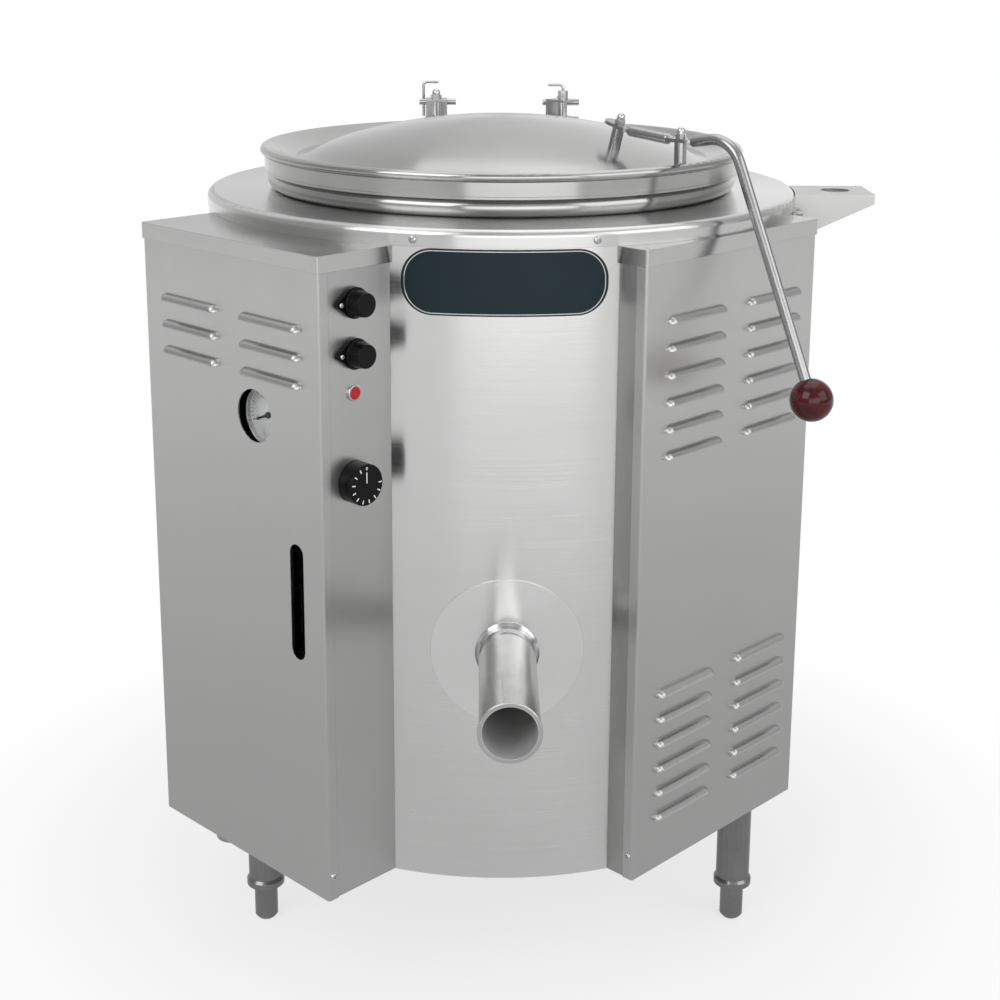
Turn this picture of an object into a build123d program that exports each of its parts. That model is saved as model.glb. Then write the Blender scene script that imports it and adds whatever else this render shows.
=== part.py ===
from build123d import *
import os
from math import asin, cos, degrees, radians, sin, sqrt

# Floor-standing steam jacketed kettle: a round stainless casing on four legs, two shallow cabinets
# set against it at 45 degrees left and right of the front, a hinged lid and a front draw-off tube.
# Millimetres, +Z up, front towards -Y. The origin is on the floor, in the middle of the footprint;
# the kettle is drawn about its own axis, which stands AXIS_X, AXIS_Y from that origin.
AXIS_X = -19.0
AXIS_Y = 100.0

# ---- heights above the floor ----
CABINET_BOTTOM = 152.4
CABINET_TOP = 888.4
DECK_TOP = 908.0
RIM_TOP = 929.5
LID_GAP = 0.3
HINGE_Z = 982.0

# ---- sheet metal ----
SHEET = 1.5
PAN = 3.0

# ---- kettle bowl, jacket and casing (radii from the kettle axis) ----
BOWL_RADIUS = 279.4
BOWL_WALL = 3.0
BOWL_DEPTH = 409.5
BEAD_RADIUS = 291.0
BEAD_MIDDLE = 918.5
JACKET_RADIUS = 332.0
JACKET_WALL = 3.0
JACKET_TOP = 840.0
CASING_RADIUS = 363.5
DECK_RADIUS = 365.0
DECK_SHOULDER = 8.0
DECK_HOLE = 284.0
BOWL_CENTRE_Z = RIM_TOP - BOWL_DEPTH + BOWL_RADIUS

# ---- heater rings in the jacket, and the posts that carry it ----
ELEMENT_SIDE = 10.0
ELEMENT_RINGS = (135.0, 175.0)
ELEMENT_GAP = 20.0
TERMINAL_RADIUS = 7.0
TERMINAL_LENGTH = 62.0
POST_RING = 346.0
POST_SIZE = 22.0
POST_TURN = 12.0
LUG_Z = (800.0, 835.0)

# ---- cabinets: drawn facing -Y, then turned about the kettle axis ----
CABINET_TURN = 45.0
CABINET_HALF = 156.0
LEFT_FACE = 430.0
RIGHT_FACE = 368.0
FLANGE = 14.0
BEND = 3.0
SIDE_INSET = 1.6
CAP_OVERHANG = 1.6
CAP_FLANGE = 18.5
CAP_REACH = 350.0

# ---- louvres ----
LOUVRE_LENGTH = 101.6
LOUVRE_RADIUS = 8.0
LOUVRE_SKIN = 1.2
LOUVRE_PITCH = 30.6
LOUVRE_COLUMNS = (-69.0, 75.0)
LEFT_LOUVRE_ROWS = 3
RIGHT_LOUVRE_ROWS = 6
UPPER_LOUVRE_Z = 803.5
LOWER_LOUVRE_Z = 368.0

# ---- draw-off ----
DRAW_X = 5.0
DRAW_Z = 432.0
TUBE_OUTER = 29.5
TUBE_INNER = 27.5
SLEEVE_OUTER = 31.75
SLEEVE_INNER = 28.5
SOCKET_START = 406.0
SLEEVE_START = 388.0
DRAW_END = 565.0
TUBE_END = 403.0
ELBOW_RADIUS = 60.0
ESCUTCHEON_RADIUS = 86.0
ESCUTCHEON_THICK = 1.2
LIP_RADIUS = 33.25

# ---- legs and feet ----
FRONT_LEG = (295.0, -193.0)
REAR_LEG = (230.0, 230.0)
LEG_OUTER = 20.65
LEG_INNER = 18.65
LEG_BOTTOM = 58.0
INSERT_TOP = 80.0
INSERT_BOTTOM = 44.0
INSERT_RING = 23.3
INSERT_BEVEL = 3.5
FOOT_RADIUS = 14.3
FOOT_CHAMFER = 4.5
STUD_RADIUS = 6.35
STUD_TOP = 86.0
RUNNING = 0.08

# ---- lid ----
LID_SHEET = 2.0
LID_BAND = 295.0
LID_ROLL = 5.5
LID_ROLL_Z = 954.3
LID_PROFILE = [(60.0, 991.0), (123.0, 983.0), (184.0, 969.5), (228.0, 954.5), (256.0, 945.0)]
LID_APEX_Z = 993.0
LID_RING_INNER = 277.0
LID_RING_THICK = 3.0

# ---- lid handle, in the upright plane that looks over the right cabinet ----
HANDLE_TURN = -45.0
ROD_RADIUS = 6.35
POST_RADIUS = 7.1
POST_LENGTH = 26.0
FRONT_POST = (284.0, 957.6)
REAR_POST = (185.0, 968.2)
REAR_POST_LEAN = 15.0
FLAT_HALF = (9.0, 2.0)
FLAT_REACH = 9.0
FLAT_TAPER = 20.0
ROD_CORNER = (355.5, 995.0)
ROD_BEND = 38.0
BALL_CENTRE = (476.3, 717.0)
BALL_RADIUS = 24.0
NUT_FLAT = 5.6
NUT_HEIGHT = 9.0

# ---- lid hinges ----
HINGE_X = 89.0
HINGE_Y = 316.0
HINGE_PIN = 4.5
HINGE_PIN_REACH = (25.0, 27.0)
HINGE_POST = 6.0
HINGE_EAR = 3.0
CLAMP_WIDTH = 30.0
CLAMP_TOP = 990.0
CLAMP_FRONT = 256.0
CLAMP_BACK = 292.0
CLAMP_BOLT_Y = 273.0
CLAMP_TURN = 40.0
STRAP_Z = LID_ROLL_Z + LID_ROLL
LOCK_PIN = 2.0
LOCK_PIN_TOP = 1010.0
LOCK_PLACES = {"left": (-HINGE_X - 19.0, HINGE_Y), "right": (HINGE_X, CLAMP_BOLT_Y)}
BUSH_RADIUS = 6.2
BUSH_BORE = 3.0

# ---- controls on the left cabinet's narrow face ----
CONTROL_Y = -382.0
UPPER_SWITCH_Z = 833.6
LOWER_SWITCH_Z = 778.5
LAMP_Z = 735.3
DIAL_Z = 636.4
CONTROL_X = CABINET_HALF - SIDE_INSET
SWITCH_SCREW = 19.6
KNOB_BASE = 16.0
KNOB_FACE = 12.8
KNOB_FRONT = 24.0
DIAL_RADIUS = 23.0
DIAL_LENGTH = 20.0
SHAFT_RADIUS = 3.0
SWITCH_BUSH = 6.0
PLATE_THICK = 6.0
LAMP_BODY = 7.0
LENS_RADIUS = 7.2

# ---- pressure gauge and sight glass in the left cabinet's wide face ----
WINDOW_X = 44.0
WINDOW_Z = 697.0
WINDOW_RADIUS = 30.0
GAUGE_Z = 694.0
GAUGE_RADIUS = 38.0
GAUGE_RECESS = 14.0
GAUGE_FACE = -LEFT_FACE + GAUGE_RECESS
GAUGE_DEPTH = 30.0
BEZEL_WIDTH = 4.5
POINTER_TURN = 200.6
POINTER_LENGTH = 22.0
SLOT_X = 111.6
SLOT_Z = 498.5
SLOT_WIDTH = 23.0
SLOT_HEIGHT = 134.0
GLASS_X = 97.0
GLASS_Y = -405.0
GLASS_RADIUS = 6.5
GLASS_BOTTOM = 424.0
GLASS_TOP = 584.0

# ---- inside and under the left cabinet ----
PLATE_Y = -368.0
HUB_PLACE = (-70.0, -392.0)
HUB_INNER = 17.5
HUB_OUTER = 22.0

# ---- faucet bracket on the right of the deck ----
BRACKET_Y = (-66.0, 12.0)
BRACKET_TOP = 905.0
BRACKET_END = 457.0
BRACKET_LIP = 12.0
BRACKET_FOOT_Z = 846.0
BRACKET_SHEET = 2.5
TAB_WIDTH = 18.0
TAB_Z = 880.0
FAUCET_X = 416.0
FAUCET_RADIUS = 17.5

# ---- casing screws ----
DECK_SCREW_TURNS = (-15.6, 15.6, 120.0, 180.0, 240.0)
DECK_SCREW_Z = 896.0
PANEL_SCREW_Z = 181.0

# ---- name badge, bare ----
BADGE_WIDTH = 222.0
BADGE_HEIGHT = 72.0
BADGE_CORNER = 33.0
BADGE_Z = 851.0


def cylinder_z(radius, low, high, x=0.0, y=0.0):
    return Pos(x, y, (low + high) / 2) * Cylinder(radius, high - low)


def cylinder_y(radius, near, far, x, z):
    return Pos(x, (near + far) / 2, z) * Rot(90, 0, 0) * Cylinder(radius, abs(far - near))


def cylinder_x(radius, low, high, y, z):
    return Pos((low + high) / 2, y, z) * Rot(0, 90, 0) * Cylinder(radius, high - low)


def block(x_range, y_range, z_range):
    size = [high - low for low, high in (x_range, y_range, z_range)]
    middle = [(high + low) / 2 for low, high in (x_range, y_range, z_range)]
    return Pos(*middle) * Box(*size)


def tube_z(outer, inner, low, high, x=0.0, y=0.0):
    return cylinder_z(outer, low, high, x, y) - cylinder_z(inner, low - 1, high + 1, x, y)


def turned(outline):
    """Solid of revolution about the kettle axis from an outline of (radius, height) edges."""
    return revolve(Plane.XZ * make_face(outline), Axis.Z, 360)


def left_cabinet(shape):
    return shape.rotate(Axis.Z, -CABINET_TURN)


def right_cabinet(shape):
    return shape.rotate(Axis.Z, CABINET_TURN)


def on_handle_plane(shape):
    return shape.rotate(Axis.Z, HANDLE_TURN)


# ---------------------------------------------------------------- kettle and jacket
def kettle_bowl():
    """Hemispherical bowl with a straight wall, a rolled bead at its rim and an outlet in its bottom."""
    outer = BOWL_RADIUS + BOWL_WALL
    lip = BOWL_RADIUS + 5
    z = BOWL_CENTRE_Z
    inner_bottom = (0, z - BOWL_RADIUS)
    outer_bottom = (0, z - outer)
    slant = sqrt(0.5)
    path = [
        Line(outer_bottom, inner_bottom),
        ThreePointArc(inner_bottom, (BOWL_RADIUS * slant, z - BOWL_RADIUS * slant), (BOWL_RADIUS, z)),
        Line((BOWL_RADIUS, z), (BOWL_RADIUS, RIM_TOP - 3)),
        Line((BOWL_RADIUS, RIM_TOP - 3), (BOWL_RADIUS + 3, RIM_TOP)),
        Line((BOWL_RADIUS + 3, RIM_TOP), (lip, RIM_TOP)),
        ThreePointArc((lip, RIM_TOP), (BEAD_RADIUS, BEAD_MIDDLE), (outer, DECK_TOP)),
        Line((outer, DECK_TOP), (outer, z)),
        ThreePointArc((outer, z), (outer * slant, z - outer * slant), outer_bottom),
    ]
    bowl = turned(path)
    return bowl - cylinder_z(TUBE_OUTER, z - outer - 5, z - BOWL_RADIUS + 10, DRAW_X)


def draw_off_route():
    """Centre line of the draw-off: down out of the bowl, round the elbow, then level to the front."""
    top = (DRAW_X, 0, BOWL_CENTRE_Z - BOWL_RADIUS + 6)
    corner = (DRAW_X, 0, DRAW_Z)
    end = (DRAW_X, -TUBE_END, DRAW_Z)
    return FilletPolyline(top, corner, end, radius=ELBOW_RADIUS)


def draw_off_rod(radius):
    route = draw_off_route()
    return sweep(Plane(route @ 0, z_dir=route % 0) * Circle(radius), path=route)


def draw_off_elbow():
    pipe = draw_off_rod(TUBE_OUTER) - draw_off_rod(TUBE_INNER)
    return pipe - Pos(0, 0, BOWL_CENTRE_Z) * Sphere(BOWL_RADIUS)


def steam_jacket():
    """Outer shell of the jacket: a hemisphere and short wall round the bowl, closed by a top ring."""
    def vessel(radius, top):
        return Pos(0, 0, BOWL_CENTRE_Z) * Sphere(radius) - block(
            (-400, 400), (-400, 400), (BOWL_CENTRE_Z, BOWL_CENTRE_Z + 400)
        ) + cylinder_z(radius, BOWL_CENTRE_Z, top)

    shell = vessel(JACKET_RADIUS, JACKET_TOP) - vessel(JACKET_RADIUS - JACKET_WALL, JACKET_TOP - JACKET_WALL)
    shell -= cylinder_z(BOWL_RADIUS + BOWL_WALL, BOWL_CENTRE_Z, JACKET_TOP + 5)
    shell -= draw_off_rod(TUBE_OUTER)
    for ring in ELEMENT_RINGS:
        for x, y in element_ends(ring):
            shell -= cylinder_z(TERMINAL_RADIUS, 400, element_height(ring), x, y)
    return shell


def element_height(ring):
    middle = (BOWL_RADIUS + BOWL_WALL + JACKET_RADIUS - JACKET_WALL) / 2
    return BOWL_CENTRE_Z - sqrt(middle ** 2 - ring ** 2)


def element_ends(ring):
    turns = (90 - ELEMENT_GAP / 2, 90 + ELEMENT_GAP / 2)
    return [(ring * cos(radians(turn)), ring * sin(radians(turn))) for turn in turns]


def heating_elements():
    """Two cast heater rings in the water space, each with two terminals down through the jacket."""
    parts = []
    for ring in ELEMENT_RINGS:
        z = element_height(ring)
        section = Plane.XZ * Pos(ring, z) * Rectangle(ELEMENT_SIDE, ELEMENT_SIDE)
        body = Rot(0, 0, 90 + ELEMENT_GAP / 2) * revolve(section, Axis.Z, 360 - ELEMENT_GAP)
        for x, y in element_ends(ring):
            body += cylinder_z(TERMINAL_RADIUS, z - TERMINAL_LENGTH, z + TERMINAL_RADIUS, x, y)
        parts.append(body)
    return Compound(parts)


def support_posts():
    """Four square posts that carry the jacket on welded lugs above the base pan."""
    half = POST_SIZE / 2
    posts = []
    for turn in range(0, 360, 90):
        post = block((POST_RING - half, POST_RING + half), (-half, half), (CABINET_BOTTOM + PAN, LUG_Z[1]))
        post += block((JACKET_RADIUS - 6, POST_RING - half), (-half, half), LUG_Z)
        post -= cylinder_z(JACKET_RADIUS, LUG_Z[0] - 5, LUG_Z[1] + 5)
        posts.append(post.rotate(Axis.Z, turn + POST_TURN))
    return Compound(posts)


# ---------------------------------------------------------------- casing, deck and base
def cabinet_plan(face, inset):
    """Plan outline of one cabinet, from its wide face back to the kettle axis."""
    half = CABINET_HALF - inset
    return Pos(0, -(face - inset) / 2) * Rectangle(2 * half, face - inset)


def casing_shell():
    return tube_z(CASING_RADIUS, CASING_RADIUS - SHEET, CABINET_BOTTOM, DECK_TOP - DECK_SHOULDER)


def between_cabinets():
    """Everything that lies in front of both cabinets' narrow faces, as a wedge to keep."""
    keep = block((-400, 400), (-400, 0), (0, 1000))
    wall = block((-CONTROL_X, CONTROL_X), (-400, 10), (-5, 1005))
    return keep - left_cabinet(wall) - right_cabinet(wall)


def casing_front():
    strip = casing_shell() & between_cabinets()
    strip -= left_cabinet(block((-CONTROL_X, CONTROL_X), (-400, 0), (0, 1000)))
    near = strip.solids().sort_by(Axis.Y)[0]
    return near - cylinder_y(TUBE_OUTER, -CASING_RADIUS - 5, -300, DRAW_X, DRAW_Z)


def casing_rear():
    hidden = block((-CONTROL_X, CONTROL_X), (-400, 0), (0, 1000))
    wrap = casing_shell() - left_cabinet(hidden) - right_cabinet(hidden)
    return wrap.solids().sort_by(Axis.Y)[-1]


def deck_cover():
    """Round top deck with a rounded shoulder and a skirt that laps over the casing."""
    whole = cylinder_z(DECK_RADIUS, CABINET_TOP, DECK_TOP)
    whole = fillet(whole.edges().sort_by(Axis.Z)[-1], DECK_SHOULDER)
    inside = cylinder_z(DECK_RADIUS - SHEET, CABINET_TOP - 5, DECK_TOP - SHEET)
    inside = fillet(inside.edges().sort_by(Axis.Z)[-1], DECK_SHOULDER - SHEET)
    return whole - inside - cylinder_z(DECK_HOLE, DECK_TOP - 20, DECK_TOP + 5)


def base_pan():
    plan = Circle(CASING_RADIUS - SHEET)
    plan += Rot(0, 0, -CABINET_TURN) * cabinet_plan(LEFT_FACE, SIDE_INSET + SHEET)
    plan += Rot(0, 0, CABINET_TURN) * cabinet_plan(RIGHT_FACE, SIDE_INSET + SHEET)
    pan = Pos(0, 0, CABINET_BOTTOM) * extrude(plan, PAN)
    inlet = left_cabinet(cylinder_z(HUB_INNER, 100, 200, *HUB_PLACE))
    return pan - inlet


def conduit_hub():
    """Supply inlet under the left cabinet: a plain conduit hub with its locking ring."""
    hub = tube_z(HUB_OUTER, HUB_INNER, CABINET_BOTTOM - 20, CABINET_BOTTOM, *HUB_PLACE)
    hub += tube_z(HUB_OUTER + 4, HUB_INNER, CABINET_BOTTOM - 4, CABINET_BOTTOM, *HUB_PLACE)
    return left_cabinet(hub)


# ---------------------------------------------------------------- cabinets
def wide_panel(face):
    """Wide outer face with a rounded bend and a return flange down each side."""
    top = CABINET_TOP - SHEET
    outer = block((-CABINET_HALF, CABINET_HALF), (-face, -face + FLANGE), (CABINET_BOTTOM, top))
    front_edges = outer.edges().filter_by(Axis.Z).sort_by(Axis.Y)[:2]
    outer = fillet(front_edges, BEND)
    half = CABINET_HALF - SHEET
    inner = block((-half, half), (-face + SHEET, 0), (0, 1000))
    inner = fillet(inner.edges().filter_by(Axis.Z).sort_by(Axis.Y)[:2], BEND - SHEET)
    return outer - inner


def capsule(radius, length):
    straight = length / 2 - radius
    body = cylinder_x(radius, -straight, straight, 0, 0)
    return body + Pos(-straight, 0, 0) * Sphere(radius) + Pos(straight, 0, 0) * Sphere(radius)


def add_louvres(panel, face, columns, rows, first_z):
    """Presses rows of louvres out of a panel: rounded hoods, closed above and open below."""
    upper = block((-LOUVRE_LENGTH, LOUVRE_LENGTH), (-50, 50), (0, 50))
    proud = block((-LOUVRE_LENGTH, LOUVRE_LENGTH), (-50, 0), (0, 50))
    hood = capsule(LOUVRE_RADIUS, LOUVRE_LENGTH) & proud
    reach = LOUVRE_LENGTH / 2 - LOUVRE_RADIUS
    hollow = cylinder_x(LOUVRE_RADIUS - LOUVRE_SKIN, -reach, reach, 0, 0) & upper
    places = [Pos(x, -face, first_z - row * LOUVRE_PITCH) for x in columns for row in range(rows)]
    panel += [place * hood for place in places]
    panel -= [place * hollow for place in places]
    return panel


def left_side_panel():
    panel = wide_panel(LEFT_FACE)
    panel = add_louvres(panel, LEFT_FACE, LOUVRE_COLUMNS, LEFT_LOUVRE_ROWS, UPPER_LOUVRE_Z)
    panel -= cylinder_y(WINDOW_RADIUS, -LEFT_FACE - 5, -LEFT_FACE + 5, WINDOW_X, WINDOW_Z)
    slot = extrude(SlotOverall(SLOT_HEIGHT, SLOT_WIDTH), 5, both=True)
    panel -= Pos(SLOT_X, -LEFT_FACE, SLOT_Z) * Rot(90, 0, 0) * Rot(0, 0, 90) * slot
    return left_cabinet(panel)


def right_side_panel():
    panel = wide_panel(RIGHT_FACE)
    panel = add_louvres(panel, RIGHT_FACE, LOUVRE_COLUMNS, RIGHT_LOUVRE_ROWS, UPPER_LOUVRE_Z)
    panel = add_louvres(panel, RIGHT_FACE, LOUVRE_COLUMNS, RIGHT_LOUVRE_ROWS, LOWER_LOUVRE_Z)
    return right_cabinet(panel)


def narrow_panel(face, side):
    """Flat strip that closes one side of a cabinet, tucked inside the wide panel's flange."""
    reach = sqrt((CASING_RADIUS - SHEET) ** 2 - CONTROL_X ** 2)
    x_range = sorted((side * CONTROL_X, side * (CONTROL_X - SHEET)))
    return block(x_range, (-face + BEND, -reach), (CABINET_BOTTOM, CABINET_TOP - SHEET))


def control_panel():
    panel = narrow_panel(LEFT_FACE, 1)
    for z in (UPPER_SWITCH_Z, LOWER_SWITCH_Z, DIAL_Z):
        panel -= cylinder_x(SWITCH_BUSH, 140, 170, CONTROL_Y, z)
    panel -= cylinder_x(LAMP_BODY, 140, 170, CONTROL_Y, LAMP_Z)
    return left_cabinet(panel)


def top_cap(face):
    """Tray that closes a cabinet's top: a flat plate with a short flange round its outer sides."""
    half = CABINET_HALF + CAP_OVERHANG
    front = -face - CAP_OVERHANG
    top = block((-half, half), (front, 0), (CABINET_TOP - CAP_FLANGE, CABINET_TOP))
    top = fillet(top.edges().filter_by(Axis.Z).sort_by(Axis.Y)[:2], BEND)
    under = half - SHEET
    top -= block((-under, under), (front + SHEET, 5), (0, CABINET_TOP - SHEET))
    return top - cylinder_z(CASING_RADIUS, 800, CABINET_TOP - SHEET) - cylinder_z(CAP_REACH, 800, 1000)


def trimmed_cap(face, turn):
    cap = turn(top_cap(face)) - casing_front() - casing_rear()
    return cap.solids().sort_by(SortBy.VOLUME)[-1]


# ---------------------------------------------------------------- draw-off tube and trim
def lathe_y(points, x, z):
    """A ring turned about a line that runs front to back: points are (radius, distance forward)."""
    face = make_face(Polyline(*[(r, d) for r, d in points], close=True))
    ring = revolve(face, Axis.Y, 360)
    return Pos(x, 0, z) * Rot(180, 0, 0) * ring


def draw_off_sleeve():
    """Straight outlet sleeve with a rolled lip, its inner end bored out to take the elbow's tube."""
    sleeve = cylinder_y(SLEEVE_OUTER, -DRAW_END, -SLEEVE_START, DRAW_X, DRAW_Z)
    lip = cylinder_y(LIP_RADIUS, -DRAW_END, -DRAW_END + 5, DRAW_X, DRAW_Z)
    lip = fillet(lip.edges().filter_by(GeomType.CIRCLE), 1.2)
    sleeve = chamfer(sleeve.edges().filter_by(GeomType.CIRCLE).sort_by(Axis.Y)[-1:], 1.5)
    socket = cylinder_y(TUBE_OUTER, -SOCKET_START, -SLEEVE_START + 5, DRAW_X, DRAW_Z)
    return sleeve + lip - socket - cylinder_y(SLEEVE_INNER, -DRAW_END - 5, -SOCKET_START, DRAW_X, DRAW_Z)


def draw_off_collar():
    """Flared ring that seals the tube where it leaves the casing."""
    wall = CASING_RADIUS - 4
    points = [
        (TUBE_OUTER, wall), (36.5, wall), (36.0, CASING_RADIUS + 2.0), (33.5, CASING_RADIUS + 4.5),
        (31.5, CASING_RADIUS + 9.0), (TUBE_OUTER, CASING_RADIUS + 9.0),
    ]
    ring = lathe_y(points, DRAW_X, DRAW_Z)
    return ring - cylinder_z(CASING_RADIUS + ESCUTCHEON_THICK, 300, 600)


def draw_off_escutcheon():
    """Thin round plate rolled to the casing's curve round the draw-off."""
    wrap = tube_z(CASING_RADIUS + ESCUTCHEON_THICK, CASING_RADIUS, 300, 600)
    disc = cylinder_y(ESCUTCHEON_RADIUS, -400, -300, DRAW_X, DRAW_Z)
    return (wrap & disc) - cylinder_y(TUBE_OUTER, -400, -300, DRAW_X, DRAW_Z)


def right_side_strips():
    """The narrow strips on both sides of the right cabinet's wide panel."""
    return Compound([right_cabinet(narrow_panel(RIGHT_FACE, side)) for side in (-1, 1)])


def badge_plate():
    """Bare badge plate rolled to the casing's curve, with round ends."""
    wrap = tube_z(CASING_RADIUS + SHEET, CASING_RADIUS, BADGE_Z - BADGE_HEIGHT, BADGE_Z + BADGE_HEIGHT)
    blank = extrude(RectangleRounded(BADGE_WIDTH, BADGE_HEIGHT, BADGE_CORNER), 60, both=True)
    return wrap & Pos(0, -CASING_RADIUS, BADGE_Z) * Rot(90, 0, 0) * blank


def faucet_bracket():
    """Folded bracket for a fill faucet: a holed top, two gusset sides and an end lip."""
    near, far = BRACKET_Y
    side = [
        (CASING_RADIUS - 10, BRACKET_TOP), (BRACKET_END, BRACKET_TOP),
        (BRACKET_END, BRACKET_TOP - BRACKET_LIP), (CASING_RADIUS - 10, BRACKET_FOOT_Z),
    ]
    body = Pos(0, far, 0) * extrude(Plane.XZ * make_face(Polyline(*side, close=True)), far - near)
    inner = block(
        (300, BRACKET_END - BRACKET_SHEET),
        (near + BRACKET_SHEET, far - BRACKET_SHEET),
        (800, BRACKET_TOP - BRACKET_SHEET),
    )
    tabs = block((330, 375), (near - TAB_WIDTH, near), (TAB_Z - 9, TAB_Z + 9))
    tabs += block((330, 375), (far, far + TAB_WIDTH), (TAB_Z - 9, TAB_Z + 9))
    tabs &= cylinder_z(DECK_RADIUS + BRACKET_SHEET, 800, 950)
    body += tabs
    hole = cylinder_z(FAUCET_RADIUS, BRACKET_TOP - 20, BRACKET_TOP + 5, FAUCET_X, sum(BRACKET_Y) / 2)
    return body - inner - hole - cylinder_z(DECK_RADIUS, 800, 950)


def hex_head(across_flats, height):
    return extrude(RegularPolygon(across_flats / 2, 6, major_radius=False), height)


def faucet_bracket_bolts():
    bolts = []
    for y in (BRACKET_Y[0] - TAB_WIDTH / 2, BRACKET_Y[1] + TAB_WIDTH / 2):
        turn = degrees(asin(y / DECK_RADIUS))
        bolt = Pos(DECK_RADIUS + BRACKET_SHEET, 0, TAB_Z) * Rot(0, 90, 0) * hex_head(11.0, 8.0)
        bolts.append(bolt.rotate(Axis.Z, turn))
    return Compound(bolts)


def pan_screw(radius, height):
    head = Cylinder(radius, height, align=(Align.CENTER, Align.CENTER, Align.MIN))
    return chamfer(head.edges().sort_by(Axis.Z)[-1], height * 0.5)


def casing_screws():
    """Pan-head screws: five round the deck's skirt and one low on each cabinet flange."""
    screw = pan_screw(4.4, 2.4)
    heads = []
    for turn in DECK_SCREW_TURNS:
        head = Pos(0, -DECK_RADIUS, DECK_SCREW_Z) * Rot(90, 0, 0) * screw
        heads.append(head.rotate(Axis.Z, turn))
    for face, turn in ((LEFT_FACE, left_cabinet), (RIGHT_FACE, right_cabinet)):
        for side in (-1, 1):
            place = Pos(side * CABINET_HALF, -face + FLANGE / 2, PANEL_SCREW_Z)
            heads.append(turn(place * Rot(0, side * 90, 0) * screw))
    return Compound(heads)


# ---------------------------------------------------------------- legs
def leg_places():
    return [(side * x, y) for x, y in (FRONT_LEG, REAR_LEG) for side in (-1, 1)]


def leg_tubes():
    return Compound([tube_z(LEG_OUTER, LEG_INNER, LEG_BOTTOM, CABINET_BOTTOM, x, y) for x, y in leg_places()])


def leg_inserts():
    """Plug pressed into each leg, with a rounded ring under the tube and a tapped bore for the foot."""
    bore = STUD_RADIUS + RUNNING
    neck = FOOT_RADIUS + 1
    profile = Polyline(
        (bore, INSERT_TOP), (LEG_INNER, INSERT_TOP), (LEG_INNER, LEG_BOTTOM), (LEG_OUTER, LEG_BOTTOM),
        (INSERT_RING, LEG_BOTTOM - INSERT_BEVEL), (INSERT_RING, INSERT_BOTTOM + INSERT_BEVEL),
        (neck, INSERT_BOTTOM), (bore, INSERT_BOTTOM), close=True,
    )
    plug = turned(profile.edges())
    return Compound([Pos(x, y, 0) * plug for x, y in leg_places()])


def bullet_foot(x, y):
    top = INSERT_BOTTOM - LID_GAP
    foot = cylinder_z(FOOT_RADIUS, 0, top)
    foot = chamfer(foot.edges().sort_by(Axis.Z)[0], FOOT_CHAMFER, FOOT_CHAMFER * 0.8)
    return Pos(x, y, 0) * (foot + cylinder_z(STUD_RADIUS, top, STUD_TOP))


# ---------------------------------------------------------------- lid
def lid_cover():
    """Spun lid: low dome, a valley, then an annulus up to a rolled rim and a band down from it."""
    roll_x = LID_BAND - 0.5
    inner = LID_SHEET
    band_bottom = RIM_TOP + LID_GAP + LID_RING_THICK
    dome = [(0, LID_APEX_Z)] + LID_PROFILE
    under = [(0, LID_APEX_Z - inner)] + [(r, z - inner * 1.03) for r, z in LID_PROFILE]
    up = (LID_PROFILE[-1][0] + 30, 957.0)
    top = (roll_x, LID_ROLL_Z + LID_ROLL)
    crest = (roll_x + LID_ROLL, LID_ROLL_Z)
    foot = (LID_BAND, LID_ROLL_Z - LID_ROLL)
    outline = [
        Spline(*dome, tangents=[(1, 0), (1, -0.1)]),
        Spline(dome[-1], up, top, tangents=[(1, 0.1), (1, 0)]),
        ThreePointArc(top, (roll_x + LID_ROLL * 0.71, LID_ROLL_Z + LID_ROLL * 0.71), crest),
        ThreePointArc(crest, (roll_x + LID_ROLL * 0.8, LID_ROLL_Z - LID_ROLL * 0.6), foot),
        Line(foot, (LID_BAND, band_bottom)),
        Line((LID_BAND, band_bottom), (LID_BAND - inner, band_bottom)),
        Line((LID_BAND - inner, band_bottom), (LID_BAND - inner, up[1] - inner - 1)),
        Line((LID_BAND - inner, up[1] - inner - 1), (up[0] + 1, up[1] - inner - 1)),
        Spline((up[0] + 1, up[1] - inner - 1), under[-1], tangents=[(-1, -0.6), (-1, -0.1)]),
        Spline(*reversed(under), tangents=[(-1, 0.1), (-1, 0)]),
        Line(under[0], dome[0]),
    ]
    return turned(outline)


def lid_rim_ring():
    low = RIM_TOP + LID_GAP
    return tube_z(LID_BAND, LID_RING_INNER, low, low + LID_RING_THICK)


def handle_point(place):
    return (place[0], 0.0, place[1])


def post_top(place, lean):
    return (
        place[0] + POST_LENGTH * sin(radians(lean)),
        place[1] + POST_LENGTH * cos(radians(lean)),
    )


def handle_posts():
    """Two stand-offs: one upright on the rolled rim, one square to the dome."""
    lid = lid_cover()
    posts = []
    for place, lean in ((FRONT_POST, 0.0), (REAR_POST, REAR_POST_LEAN)):
        post = cylinder_z(POST_RADIUS, -3, POST_LENGTH)
        post = Pos(*handle_point(place)) * Rot(0, lean, 0) * post - lid
        posts.append(on_handle_plane(post.solids().sort_by(Axis.Z)[-1]))
    return Compound(posts)


def acorn_nut(flat, height):
    """Hexagon nut with a domed cap."""
    nut = hex_head(2 * flat, height * 0.6)
    cap = Pos(0, 0, height * 0.6) * Cylinder(flat * 0.86, 3, align=(Align.CENTER, Align.CENTER, Align.MIN))
    dome = Pos(0, 0, height * 0.6 + 3) * Sphere(flat * 0.86)
    return nut + cap + dome


def handle_nuts():
    nuts = []
    for place, lean in ((FRONT_POST, 0.0), (REAR_POST, REAR_POST_LEAN)):
        x, z = post_top(place, lean)
        seat = Pos(x, 0, z) * Rot(0, lean, 0) * Pos(0, 0, 2 * FLAT_HALF[1])
        nuts.append(on_handle_plane(seat * acorn_nut(NUT_FLAT, NUT_HEIGHT)))
    return Compound(nuts)


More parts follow.
